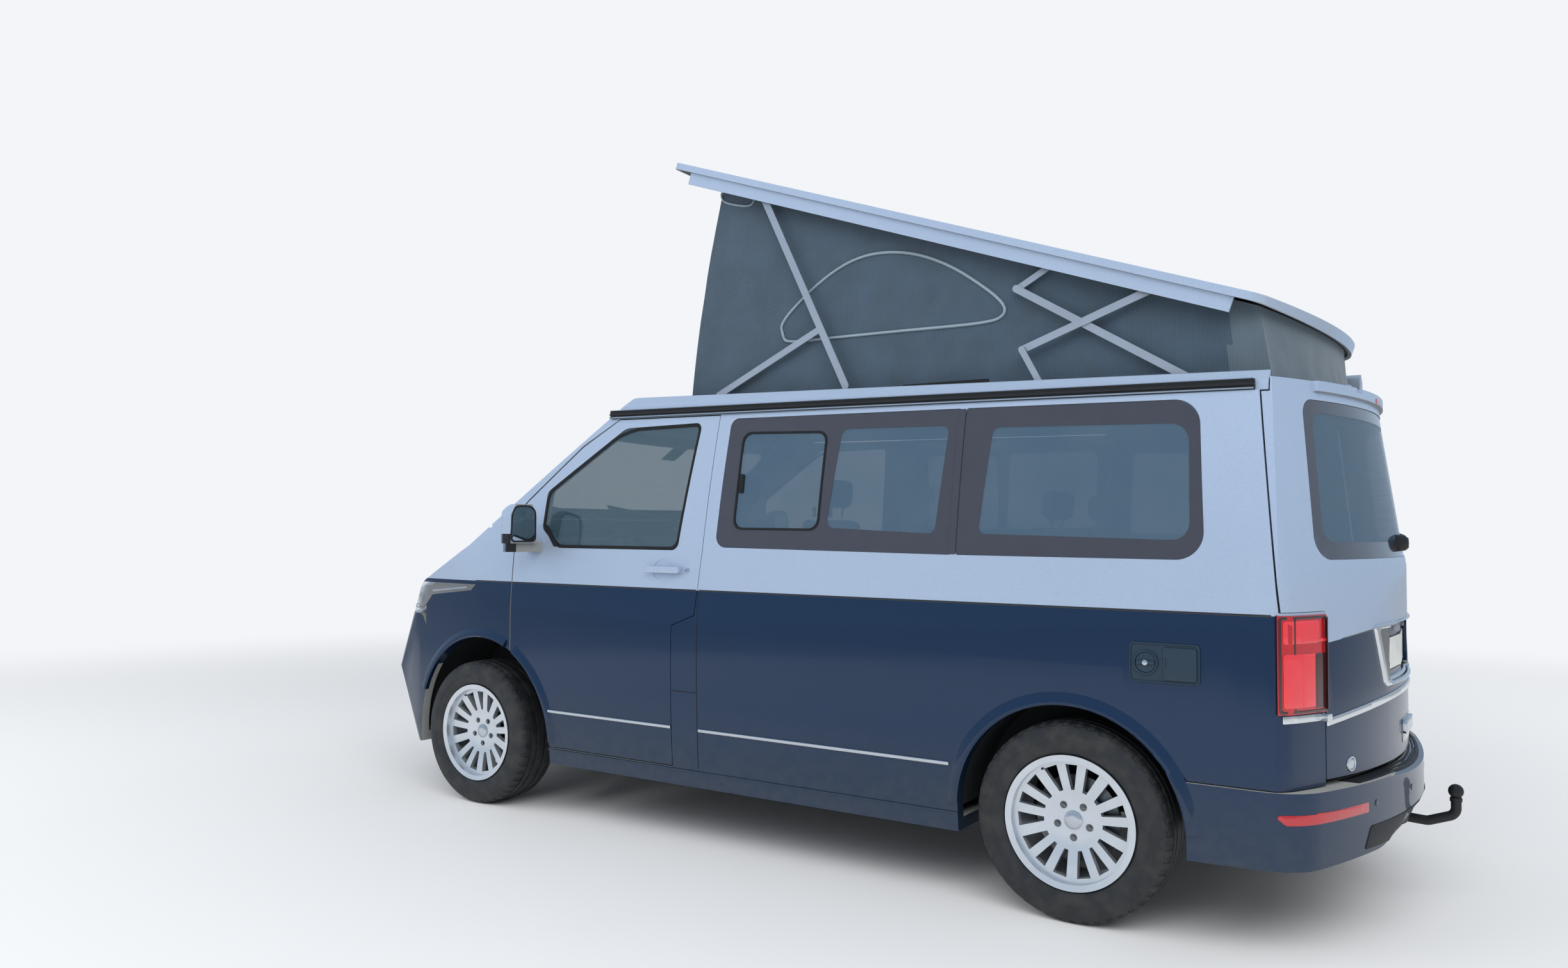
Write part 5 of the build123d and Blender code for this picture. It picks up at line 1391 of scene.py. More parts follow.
@dataclass
class SideTrim:
    """Strips, arch lips, handles, flaps and rails on the body sides."""

    nodes: dict[str, Any]
    waist: float = 1088.0
    strip: float = 500.0
    front_arch: Point2 = (1455.0, 470.0)
    rear_arch: Point2 = (-1495.0, 408.0)
    arch_level: float = 345.0
    door_seams: Point2 = (1244.0, 1226.0)

    def __post_init__(self) -> None:
        """Gather the left side's surface."""
        names = ("side_panel_left", "door_left", "front_wings", "front_bumper", "rear_bumper")
        self.skin = Skin(*(self.nodes[n] for n in names))

    def lip(self, arch: Point2, start: float, end: float) -> Mesh:
        """Flared lip round part of a wheel arch, between two angles from the front."""
        x, r = arch
        profile = [(-1, -14), (-1, 7), (5, 12), (15, 12.5), (28, 7), (38, 1.5), (44, 0.1), (44, -3), (6, -5)]
        bm = bmesh.new()
        a0 = math.radians(start)
        ring = [
            bm.verts.new((x + (r + d) * math.cos(a0), self.arch_level + (r + d) * math.sin(a0), h))
            for d, h in profile
        ]
        face = bm.faces.new(ring)
        bmesh.ops.spin(
            bm, geom=[face], cent=(x, self.arch_level, 0), axis=(0, 0, 1), angle=math.radians(end - start),
            steps=max(4, int((end - start) / 3.5)), use_merge=False,
        )
        return self.skin.lay(bm, LEFT, 5000.0)

    def strips(self) -> None:
        """Black strips of painted crease shade along the waist, bright lower moulding and the sill's bead."""
        lay = self.skin.lay
        # The waist crease is real; the black strips laid along it are painted shade of the crease
        line = (self.waist - 3.5, self.waist + 3.5)
        fixed = [(-2180.0, 104.0), (1240.0, 1490.0)]
        parts = [lay(slab(rounded_box(a, b, *line, 1), -1, 1.2, 0.5), LEFT) for a, b in fixed]
        make_piece(joined(*parts), "waist_crease_shade_left", "body", GLOSS_BLACK)
        fixed = [(-2180.0, -1073.0), (-1060.0, 98.0), (1240.0, 1490.0)]
        parts = [lay(slab(rounded_box(a, b, *line, 1), -1, 1.2, 0.5), LEFT) for a, b in fixed]
        flipped = joined(*parts)
        make_piece(mirrored(flipped), "waist_crease_shade_right", "body", GLOSS_BLACK)
        flipped.free()
        door_crease_shade = lay(slab(rounded_box(118, 1232, *line, 1), -1, 1.2, 0.5), LEFT)
        both_sides(door_crease_shade, "waist_crease_shade_door", DOORS, GLOSS_BLACK)
        bright = (self.strip - 7, self.strip + 7)
        for name, bodies, x0, x1, levels, reach, height, finish, slot in (
            ("side_moulding", BODY, -1058, 100, bright, 3, 6.5, SATIN_CHROME, "trim"),
            ("door_moulding", DOORS, 250, 990, bright, 3, 6.5, SATIN_CHROME, "trim"),
            ("sill_bead", BODY, -1090, 990, (318, 326), 2, 5.0, BUMPER_BLUE, "paint"),
        ):
            rows = rounded_box(x0, x1, *levels, reach)
            both_sides(lay(slab(rows, -0.5, height, reach), LEFT), name, bodies, finish, slot)

    def arches(self) -> None:
        """Lips round both arches, split where the door carries its part."""
        both_sides(self.lip(self.rear_arch, 2, 176), "rear_arch_lip", BODY, NIGHT_BLUE, "paint")
        x, r = self.front_arch
        hinge = math.degrees(math.acos((self.door_seams[0] - x) / (r + 44)))
        both_sides(self.lip(self.front_arch, 22, hinge - 1.5), "front_arch_lip", BODY, NIGHT_BLUE, "paint")
        seam = math.degrees(math.acos((self.door_seams[1] - x) / r))
        both_sides(self.lip(self.front_arch, seam + 1.0, 179), "door_arch_lip", DOORS, NIGHT_BLUE, "paint")

    def handle(self, x0: float, x1: float, z: float) -> list[Mesh]:
        """Grip bar on two feet over a shallow dish."""
        lay = self.skin.lay
        middle = (x0 + x1) / 2
        dish = framed(
            round_rows(middle + 12, z - 4, 62, 28, 0.86), round_rows(middle + 12, z - 4, 54, 28, 0.86), -0.5,
            1.6, 0.6,
        )
        bar = slab(rounded_box(x0, x1, z - 15, z + 15, 13), 16, 34, 7)
        feet = [slab(rounded_box(a, a + 34, z - 13, z + 13, 11), -2, 22) for a in (x0 + 3, x1 - 37)]
        return [lay(p, LEFT, 30.0) for p in (dish, bar, *feet)]

    def handles(self) -> None:
        """Handles of the front doors and the sliding door, with their lock."""
        both_sides(joined(*self.handle(196, 390, 1173)), "door_handle", DOORS, SILVER, "paint")
        lock = slab(round_rows(170, 1171, 11, 20), -0.5, 3.0, 1.0)
        make_piece(self.skin.lay(lock, LEFT), "door_lock_left", "door_left", SATIN_CHROME)
        slider = joined(*self.handle(-120, 74, 1173))
        make_piece(mirrored(slider), "sliding_door_handle", "body", SILVER, "paint")
        slider.free()
        rail = joined(
            self.skin.lay(slab(rounded_box(-2110, -1076, 1192, 1214, 4), -0.5, 1.6, 0.6), LEFT),
            self.skin.lay(slab(rounded_box(-2100, -1080, 1200, 1206, 2), 1.0, 2.6, 0.5), LEFT),
        )
        make_piece(mirrored(rail), "sliding_door_rail", "body", GLOSS_BLACK)
        rail.free()

    def flaps(self) -> None:
        """Fuel flap and seam lines, and the hook-up box behind the rear wheel."""
        lay = self.skin.lay
        lines = [
            rounded_box(104.5, 108.5, 336, 978, 0.5), rounded_box(109, 243, 655, 659, 0.5),
            rounded_box(104.5, 108.5, 985, 1084, 0.5),
        ]
        make_piece(joined(*[lay(slab(r, -0.5, 0.5), LEFT) for r in lines]), "fuel_flap_gaps", "body", SEAL)
        plate = framed(
            rounded_box(-1950, -1722, 854, 985, 14), rounded_box(-1944, -1728, 860, 979, 10), -0.5, 7.0, 2.5
        )
        bed = slab(rounded_box(-1945, -1727, 859, 980, 10), -0.5, 2.6)
        flap = slab(rounded_box(-1940, -1832, 864, 972, 9), 2.0, 9.0, 3.0)
        cup = framed(round_rows(-1776, 919, 41, 40), round_rows(-1776, 919, 34, 40), 2.0, 9.0, 2.0)
        knob = slab(round_rows(-1776, 919, 33, 40), 2.0, 7.0, 1.5)
        grip = slab(rounded_box(-1806, -1746, 912, 926, 6), 6.5, 14.0, 3.0)
        latch = slab(rounded_box(-1842, -1834, 900, 936, 3), 8.5, 12.0, 1.5)
        parts = [lay(p, LEFT, 40.0) for p in (plate, bed, flap, cup, knob, grip, latch)]
        make_piece(joined(*parts), "hook_up_box", "body", SLATE_PLASTIC)
        ring = slab(round_rows(-1776, 919, 9, 20), 13.5, 15.0, 0.6)
        make_piece(lay(ring, LEFT), "hook_up_lock", "body", SATIN_CHROME)

    def roof_edge(self) -> None:
        """Bright rail caps and beads, and the clip bar beside the tent."""
        for name, y, rise, reach, section in (
            ("rail_cap", 847.5, 38.5, 0, [(-6, -1.5), (6, -1.5), (5, 1.5), (-5, 1.5)]),
            ("rail_bead", 856.6, 5.5, 2, [(-0.6, -2.5), (0.6, -2.5), (0.6, 2.5), (-0.6, 2.5)]),
        ):
            xs = (-2100 - reach, -1400, -700, 0, 696 + reach)
            line = swept([place(x, y, 1843 + 0.0135 * x + rise) for x in xs], section, UP)
            both_sides(line, name, BODY, SATIN_CHROME, "rail")
        bar = joined(
            block(-1157, -794, 801, 809, 1906, 1920, 3), block(-1150, -1120, 800, 811, 1888, 1910, 3),
            block(-830, -800, 800, 811, 1892, 1910, 3),
        )
        both_sides(bar, "tent_clip_bar", BODY, SEAL)
        # The bar is rubber; each side's bar is given a mesh of its own
        for word, y in (("left", 805.0), ("right", -805.0)):
            strap = bpy.data.objects["tent_clip_bar_" + word]
            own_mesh(strap)

    def mirrors(self) -> None:
        """Mirror glass in its frame, on both doors."""
        rows = [
            (991, 1288, 22), (1141, 1288, 22), (1134, 1420, 26), (1108, 1449, 26), (1012, 1449, 26),
            (991, 1420, 26),
        ]
        frame = framed(drawn_in(rows, -4.0), drawn_in(rows, 3.0), -1.0, 4.0, 1.5)
        glass = slab(rows, 0.0, 1.8, 0.6)
        for bm in (frame, glass):
            for vert in bm.verts:
                vert.co = place(1033.0 - vert.co.z, vert.co.x, vert.co.y)
            bmesh.ops.recalc_face_normals(bm, faces=bm.faces)
        both_sides(frame, "mirror_frame", DOORS, PLASTIC)
        both_sides(glass, "mirror_glass", DOORS, MIRROR_GLASS, "glass")

    def build(self) -> None:
        """Build everything on the sides."""
        self.strips()
        self.arches()
        self.handles()
        self.flaps()
        self.roof_edge()
        self.mirrors()


@dataclass
class Tail:
    """Rear: lamps, bright strips, plate, handle, brake light, reflectors and step."""

    nodes: dict[str, Any]

    def lamps(self) -> None:
        """Bars, blocks and smoked panels in the tail lamps."""
        lamp = Skin(self.nodes["tail_lights"])
        bright = [
            lamp.lay(slab(rounded_box(*box), -0.5, high, 1.2), side, 25.0)
            for side, high, box in (
                (REAR, 3.0, (820, 868, 800, 968, 8)),
                (REAR, 3.5, (760, 868, 1004, 1014, 4)),
                (LEFT, 3.0, (-2280, -2196, 800, 968, 8)),
                (LEFT, 2.0, (-2280, -2196, 1000, 1072, 8)),
            )
        ]
        both_sides(joined(*bright), "tail_lamp_bars", BODY, BRIGHT_RED, "red_lens")
        smoke = [lamp.lay(slab(rounded_box(760, 812, 796, 968, 5), -0.5, 2.0, 0.8), REAR, 25.0)]
        for side, outer, inner in (
            (REAR, (757, 900, 783, 1086, 10), (766, 894, 792, 1077, 8)),
            (LEFT, (-2300, -2184, 783, 1086, 10), (-2292, -2192, 792, 1077, 8)),
        ):
            frame = framed(rounded_box(*outer), rounded_box(*inner), -0.5, 1.6, 0.6)
            smoke.append(lamp.lay(frame, side, 25.0))
        corner = Skin(self.nodes["side_panel_left"])
        strips = [
            corner.lay(slab(rounded_box(u0, u1, 752, 776, 3), -0.5, 5.0, 2.0), side, 25.0)
            for side, u0, u1 in ((LEFT, -2310, -2192), (REAR, 762, 890))
        ]
        both_sides(joined(*strips), "corner_bright_strip", BODY, CHROME)
        both_sides(joined(*smoke), "tail_lamp_frame", BODY, SMOKE_LENS, "red_lens")
        stop = Skin(self.nodes["tailgate"])
        make_piece(
            stop.lay(slab(rounded_box(-96, 96, 1823, 1842, 6), -0.5, 2.0, 1.0), REAR), "third_brake_light",
            "tailgate", RED_LENS, "red_lens",
        )

    def gate(self) -> None:
        """Bright strips, blank plate, handle, cap and a black line of painted crease shade on the tailgate.
        """
        skin = Skin(self.nodes["tailgate"])
        strip = bowed_strip(745.0, 12.0, lambda y: 791.0 - 47.0 * (y / 745.0) ** 2)
        make_piece(skin.lay(slab(strip, -0.5, 6.0, 3.0), REAR), "tailgate_bright_strip", "tailgate", CHROME)
        outer = [(-352, 822, 16), (352, 822, 16), (446, 1038, 22), (-446, 1038, 22)]
        inner = [(-326, 842, 10), (326, 842, 10), (408, 1022, 14), (-408, 1022, 14)]
        make_piece(skin.lay(framed(outer, inner, -0.5, 9.0, 4.0), REAR), "plate_surround", "tailgate", CHROME)
        field_ring = framed(
            inner, [(-299, 846, 10), (299, 846, 10), (281, 1019, 10), (-281, 1019, 10)], -0.5, 2.0
        )
        make_piece(skin.lay(field_ring, REAR), "plate_field", "tailgate", GLOSS_BLACK)
        holder = slab(rounded_box(-268, 268, 862, 984, 8), 0.0, 5.0, 2.0)
        make_piece(skin.lay(holder, REAR, 300.0), "plate_holder", "tailgate", PLASTIC)
        plate = slab(rounded_box(-260, 260, 868, 978, 6), 4.5, 7.0, 0.8)
        make_piece(skin.lay(plate, REAR, 300.0), "rear_plate", "tailgate", BLANK_PLATE)
        lights = joined(
            *[
                skin.lay(slab(rounded_box(y - 30, y + 30, 1000, 1014, 5), 0.0, 12.0, 3.0), REAR)
                for y in (-120, 120)
            ],
        )
        make_piece(lights, "plate_lights", "tailgate", CLEAR_LENS, "lens")
        pocket = slab(rounded_box(-118, 118, 598, 684, 16), -0.5, 1.5, 0.8)
        make_piece(skin.lay(pocket, REAR), "tailgate_handle_pocket", "tailgate", GLOSS_BLACK)
        grip = slab(rounded_box(-104, 104, 628, 676, 12), 1.0, 14.0, 5.0)
        make_piece(skin.lay(grip, REAR), "tailgate_handle", "tailgate", SATIN_CHROME)
        ring = framed(round_rows(617, 596, 25, 32), round_rows(617, 596, 18, 32), -0.5, 4.0, 1.5)
        disc = slab(round_rows(617, 596, 17, 32), -0.5, 2.5, 1.0)
        cap = joined(skin.lay(ring, REAR), skin.lay(disc, REAR))
        make_piece(cap, "tailgate_round_cap", "tailgate", SATIN_CHROME)
        # Black line along the tailgate's waist crease: painted shade of the crease
        line = slab(bowed_strip(660.0, 2.0, lambda y: 1040.0 - 80e-6 * y * y), -0.5, 0.8)
        make_piece(skin.lay(line, REAR), "tailgate_waist_crease_shade", "tailgate", GLOSS_BLACK)

    def bumper(self) -> None:
        """Reflectors, step pad, sensors and the dark lower panel."""
        skin = Skin(self.nodes["rear_bumper"])
        side = slab(
            [(-2176, 462, 3), (-2200, 441, 6), (-2392, 446, 2), (-2392, 478, 2), (-2180, 472, 3)], -0.5, 2.6,
            1.0,
        )
        back = slab([(870, 446, 2), (870, 478, 2), (650, 472, 8), (650, 452, 8)], -0.5, 2.6, 1.0)
        parts = joined(skin.lay(side, LEFT, 30.0), skin.lay(back, REAR, 30.0))
        both_sides(parts, "rear_reflector", BODY, RED_LENS, "red_lens")
        ys = [-640.0 + 80.0 * i for i in range(17)]
        ribs = []
        for back, front, high in (
            (2480, 2414, 1.2), (2474, 2468, 4.0), (2462, 2456, 4.0), (2450, 2444, 4.0), (2438, 2432, 4.0)
        ):
            near = [(y * y / 3700.0 - front, y, 0.0) for y in ys]
            far = [(y * y / 3700.0 - back, y, 0.0) for y in reversed(ys)]
            ribs.append(slab(near + far, -0.5, high, 0.5))
        make_piece(joined(*[skin.lay(p, TOP) for p in ribs]), "bumper_step_pad", "body", PLASTIC)
        eyes = [slab(round_rows(y, 468, 11, 20), -0.5, 2.0, 0.8) for y in (-560, -230, 230, 560)]
        make_piece(joined(*[skin.lay(p, REAR) for p in eyes]), "rear_sensors", "body", BUMPER_BLUE, "paint")
        low = slab([(-640, 330, 8), (640, 330, 8), (600, 400, 14), (-600, 400, 14)], -0.5, 3.0, 1.5)
        make_piece(skin.lay(low, REAR), "rear_lower_panel", "body", PLASTIC)

    def build(self) -> None:
        """Build everything at the rear."""
        self.lamps()
        self.gate()
        self.bumper()


@dataclass
class Nose:
    """Front: lamp internals, grille strips, fog lamps, blank plate and bonnet details."""

    nodes: dict[str, Any]

    def lamps(self) -> None:
        """Dark housing, projector and light bar inside the clear headlight."""
        lens = Skin(self.nodes["headlights"])
        rows = [
            (1545, 1058, 4), (1570, 1046, 6), (1860, 1010, 16), (1965, 924, 10), (2180, 930, 10),
            (2180, 1040, 6), (1860, 1052, 4),
        ]
        housing = lens.lay(slab(rows, -26, -18), LEFT, 40.0)
        both_sides(housing, "headlight_housing", BODY, GLOSS_BLACK)
        bar = slab([(1560, 1050, 2), (1840, 1022, 3), (1850, 1032, 3), (1560, 1058, 2)], 0.5, 2.2, 0.6)
        low = slab([(1975, 932, 2), (2160, 938, 2), (2160, 946, 2), (1972, 940, 2)], 0.3, 2.0, 0.6)
        bars = joined(lens.lay(bar, LEFT, 40.0), lens.lay(low, LEFT, 40.0))
        both_sides(bars, "headlight_light_bar", BODY, SATIN_CHROME, "lens")
        eyes = [slab(round_rows(x, 985, 26, 32), -10, -4, 3.0) for x in (1990, 2070)]
        both_sides(
            joined(*[lens.lay(p, LEFT) for p in eyes]), "headlight_projector", BODY, CLEAR_LENS, "lens"
        )

    def grille(self) -> None:
        """Bright strips on the grille, lower intake frame, fog lamps and plate."""
        skin = Skin(self.nodes["front_grille"], self.nodes["front_bumper"])
        strips = [
            skin.lay(slab(rounded_box(-548, 548, z, z + 9, 4), -0.5, 3.0, 1.5), FRONT)
            for z in (950, 983)
        ]
        make_piece(joined(*strips), "grille_strips", "body", CHROME)
        frame = framed(
            [(-566, 322, 26), (566, 322, 26), (628, 478, 30), (-628, 478, 30)],
            [(-548, 338, 20), (548, 338, 20), (604, 462, 24), (-604, 462, 24)], -1.0, 3.0, 1.5,
        )
        bumper = Skin(self.nodes["front_bumper"])
        make_piece(bumper.lay(frame, FRONT), "intake_frame", "body", PLASTIC)
        ring = framed(round_rows(755, 452, 50, 32), round_rows(755, 452, 38, 32), -0.5, 3.5, 1.5)
        bar = slab(rounded_box(690, 860, 392, 398, 3), -0.5, 2.5, 1.0)
        fogs = [bumper.lay(ring, FRONT, 30.0), bumper.lay(bar, FRONT, 30.0)]
        both_sides(joined(*fogs), "fog_lamp_ring", BODY, SATIN_CHROME)
        lens = bumper.lay(slab(round_rows(755, 452, 38, 32), -0.5, 2.0, 1.0), FRONT, 30.0)
        both_sides(lens, "fog_lamp_lens", BODY, CLEAR_LENS, "lens")
        plate = slab(rounded_box(-260, 260, 352, 462, 6), 5.0, 8.0, 0.8)
        base = slab(rounded_box(-268, 268, 344, 470, 8), -14.0, 5.0, 2.0)
        for bm in (plate, base):
            for vert in bm.verts:
                u, v, h = vert.co
                vert.co = place(2408.0 - 0.42 * (625.0 - v) + h - 8.5, u, v)
            bmesh.ops.recalc_face_normals(bm, faces=bm.faces)
        make_piece(base, "front_plate_holder", "body", PLASTIC)
        make_piece(plate, "front_plate", "body", BLANK_PLATE)
        lip = bumper.lay(
            slab([(-600, 268, 6), (600, 268, 6), (640, 300, 10), (-640, 300, 10)], -0.5, 3.0, 1.5), FRONT
        )
        make_piece(lip, "front_splitter", "body", PLASTIC)

    def bonnet(self) -> None:
        """Pressed lines and washer jets."""
        skin = Skin(self.nodes["bonnet"])
        lines = []
        for y0, y1 in ((330, 250), (600, 520)):
            path = []
            for i in range(14):
                f = i / 13
                x = 1575 + (2110 - 1575) * f
                touch, out = skin.touch(TOP, x, y0 + (y1 - y0) * f)
                path.append(touch - out * 0.0004)
            lines.append(swept(path, [(-9, -1), (9, -1), (3, 2.0), (-3, 2.0)], Vector((0.4, 0, 1))))
        both_sides(joined(*lines), "bonnet_crease", ("bonnet", "bonnet"), SILVER, "paint")
        jets = [skin.lay(slab(round_rows(1545, y, 9, 16, 0.7), -0.5, 5.0, 2.0), TOP) for y in (-260, 260)]
        make_piece(joined(*jets), "washer_jets", "bonnet", PLASTIC)

    def build(self) -> None:
        """Build everything at the front."""
        self.lamps()
        self.grille()
        self.bonnet()


@dataclass
class Cushion:
    """One padded piece: a crowned block that is blown up as cloth and smoothed."""

    name: str
    middle: Point3
    size: Point3
    turn: float
    finish: Finish
    cap: float = 0.014
    voxel: float = 0.011
    pressure: float = 4.0
    frames: int = 16

    def build(self) -> Item:
        """Returns:
            The padded piece.
        """
        bm = bmesh.new()
        bmesh.ops.create_cube(bm, size=1.0)
        length, width, height = (s * MM for s in self.size)
        bmesh.ops.scale(bm, vec=(length, width, height), verts=bm.verts)
        round_off(bm, list(bm.edges), height * 0.3, 4)
        turn = Matrix.Rotation(math.radians(self.turn), 4, "Y")
        bmesh.ops.transform(bm, matrix=Matrix.Translation(place(*self.middle)) @ turn, verts=bm.verts)
        piece = make_piece(bm, self.name, "body", self.finish, "seat_cloth", 80.0)
        self.swell(piece)
        return piece

    def swell(self, piece: Item) -> None:
        """Blow the pad up as cloth, capped, and smooth it."""
        remesh = piece.modifiers.new("remesh", "REMESH")
        remesh.mode = "VOXEL"
        remesh.voxel_size = self.voxel
        self.apply(piece)
        rest = [v.co.copy() for v in piece.data.vertices]
        cloth = piece.modifiers.new("cloth", "CLOTH")
        cloth.settings.use_pressure = True
        cloth.settings.uniform_pressure_force = self.pressure
        cloth.settings.effector_weights.gravity = 0.0
        cloth.settings.quality = 3
        scene = bpy.context.scene
        for frame in range(1, self.frames + 1):
            scene.frame_set(frame)
        self.apply(piece)
        scene.frame_set(1)
        for vert, start in zip(piece.data.vertices, rest):
            move = vert.co - start
            if move.length > self.cap:
                vert.co = start + move.normalized() * self.cap
        rounder = piece.modifiers.new("rounder", "SUBSURF")
        rounder.levels = 1
        rounder.render_levels = 1
        self.apply(piece)
        piece.data.polygons.foreach_set("use_smooth", [True] * len(piece.data.polygons))

    @staticmethod
    def apply(piece: Item) -> None:
        """Turn the piece's modifiers into its mesh."""
        graph = bpy.context.evaluated_depsgraph_get()
        mesh = bpy.data.meshes.new_from_object(piece.evaluated_get(graph))
        old = piece.data
        piece.modifiers.clear()
        piece.data = mesh
        bpy.data.meshes.remove(old)


@dataclass
class Cab:
    """Front seats, dashboard details, steering wheel pad and floor covering."""

    nodes: dict[str, Any]
    seat_x: float = 560.0
    seat_y: float = 430.0
    seat_z: float = 760.0

    def seat(self, side: float, word: str) -> list[Item]:
        """One front seat: padded base, back with side bolsters, head rest and plinth."""
        x, y, z = self.seat_x, self.seat_y * side, self.seat_z
        pads = [
            Cushion(f"seat_{name}_{word}", (x + dx, y + dy, z + dz), size, turn, finish)
            for name, (dx, dy, dz), size, turn, finish in (
                ("base", (22, 0, 68), (470, 370, 100), -5, SEAT_CLOTH),
                ("base_bolster_in", (20, -208, 72), (460, 66, 118), -5, SEAT_SIDE),
                ("base_bolster_out", (20, 208, 72), (460, 66, 118), -5, SEAT_SIDE),
                ("back", (-245, 0, 385), (90, 340, 540), -11, SEAT_CLOTH),
                ("back_bolster_in", (-240, -200, 380), (112, 66, 520), -11, SEAT_SIDE),
                ("back_bolster_out", (-240, 200, 380), (112, 66, 520), -11, SEAT_SIDE),
                ("head_rest", (-318, 0, 775), (80, 230, 150), -8, SEAT_SIDE),
            )
        ]
        made = [pad.build() for pad in pads]
        parts = [
            block(x - 190, x + 190, y - 180, y + 180, 396, z - 40, 14),
            block(x - 225, x + 225, y - 215, y + 215, z - 45, z + 8, 10),
            block(x - 40, x + 10, y - 262, y - 246, z + 10, z + 60, 6),
            block(x - 230, x - 214, y - 90, y - 78, z + 650, z + 705, 3),
            block(x - 230, x - 214, y + 78, y + 90, z + 650, z + 705, 3),
        ]
        made.append(make_piece(joined(*parts), "seat_frame_" + word, "body", TRIM_GREY))
        posts = [
            swept([place(x - 298, y + d, z + 650), place(x - 312, y + d, z + 730)], tube_section(6), ASIDE)
            for d in (-70, 70)
        ]
        made.append(make_piece(joined(*posts), "head_rest_posts_" + word, "body", SATIN_CHROME))
        return made

    def dash(self) -> None:
        """Cowl, screens, vents, glove box and centre console on the dashboard."""
        board = Skin(self.nodes["dashboard"])
        lid = framed(
            rounded_box(-700, -180, 1010, 1120, 16), rounded_box(-694, -186, 1016, 1114, 12), -1, 3, 1
        )
        dark = [
            board.lay(slab(rounded_box(290, 510, 1180, 1270, 18), -1, 5, 2), REAR),
            board.lay(slab(rounded_box(-130, 130, 1110, 1250, 12), -1, 5, 2), REAR),
            board.lay(lid, REAR),
        ]
        for y in (-760, -190, 190, 760):
            ring = framed(round_rows(y, 1215, 44, 28), round_rows(y, 1215, 36, 28), -1, 6, 2)
            dark.append(board.lay(ring, REAR))
            dark.append(board.lay(slab(rounded_box(y - 36, y + 36, 1211, 1219, 3), -1, 4, 1), REAR))
        make_piece(joined(*dark), "dashboard_panels", "body", GLOSS_BLACK)
        bright = [board.lay(slab(rounded_box(-790, 790, 1152, 1158, 2), -0.5, 4.0, 1.5), REAR)]
        for y in (-60, 0, 60):
            bright.append(board.lay(slab(round_rows(y, 1080, 20, 24), -0.5, 12.0, 3.0), REAR))
        make_piece(joined(*bright), "dashboard_bright_parts", "body", SATIN_CHROME)
        pivot = place(930, 400, 1150)
        axis = Vector((-math.cos(math.radians(28)), 0, math.sin(math.radians(28))))
        pad = turned([(0, 34), (40, 32), (62, 24), (70, 10), (66, -4), (0, -4)], pivot, axis, 40)
        make_piece(pad, "steering_pad", "steering_wheel", TRIM_GREY)
        lever = swept(
            [place(1015, -20, 985), place(985, -20, 1040), place(975, -20, 1100)], tube_section(8), ASIDE
        )
        knob = turned(
            [(0, 30), (18, 26), (24, 8), (16, -18), (8, -26), (0, -26)], place(975, -20, 1112),
            Vector((-0.2, 0, 1)), 24,
        )
        make_piece(joined(lever, knob), "gear_lever", "body", PLASTIC)
        cab_mat = block(250, 935, -780, 780, 395.5, 401, 2)
        make_piece(cab_mat, "cab_carpet", "body", CARPET)

    def doors(self) -> None:
        """Lining, arm rest and pull on the inside of the front doors."""
        parts = [
            block(300, 985, 868, 885, 560, 930, 8), block(330, 860, 842, 884, 900, 962, 14),
            block(420, 900, 850, 884, 560, 640, 10),
        ]
        both_sides(joined(*parts), "door_lining", DOORS, TRIM_GREY)

    def build(self) -> None:
        """Build the cab."""
        left = self.seat(1.0, "left")
        self.seat(-1.0, "right")
        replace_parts(left[0], "seats")
        self.dash()
        self.doors()


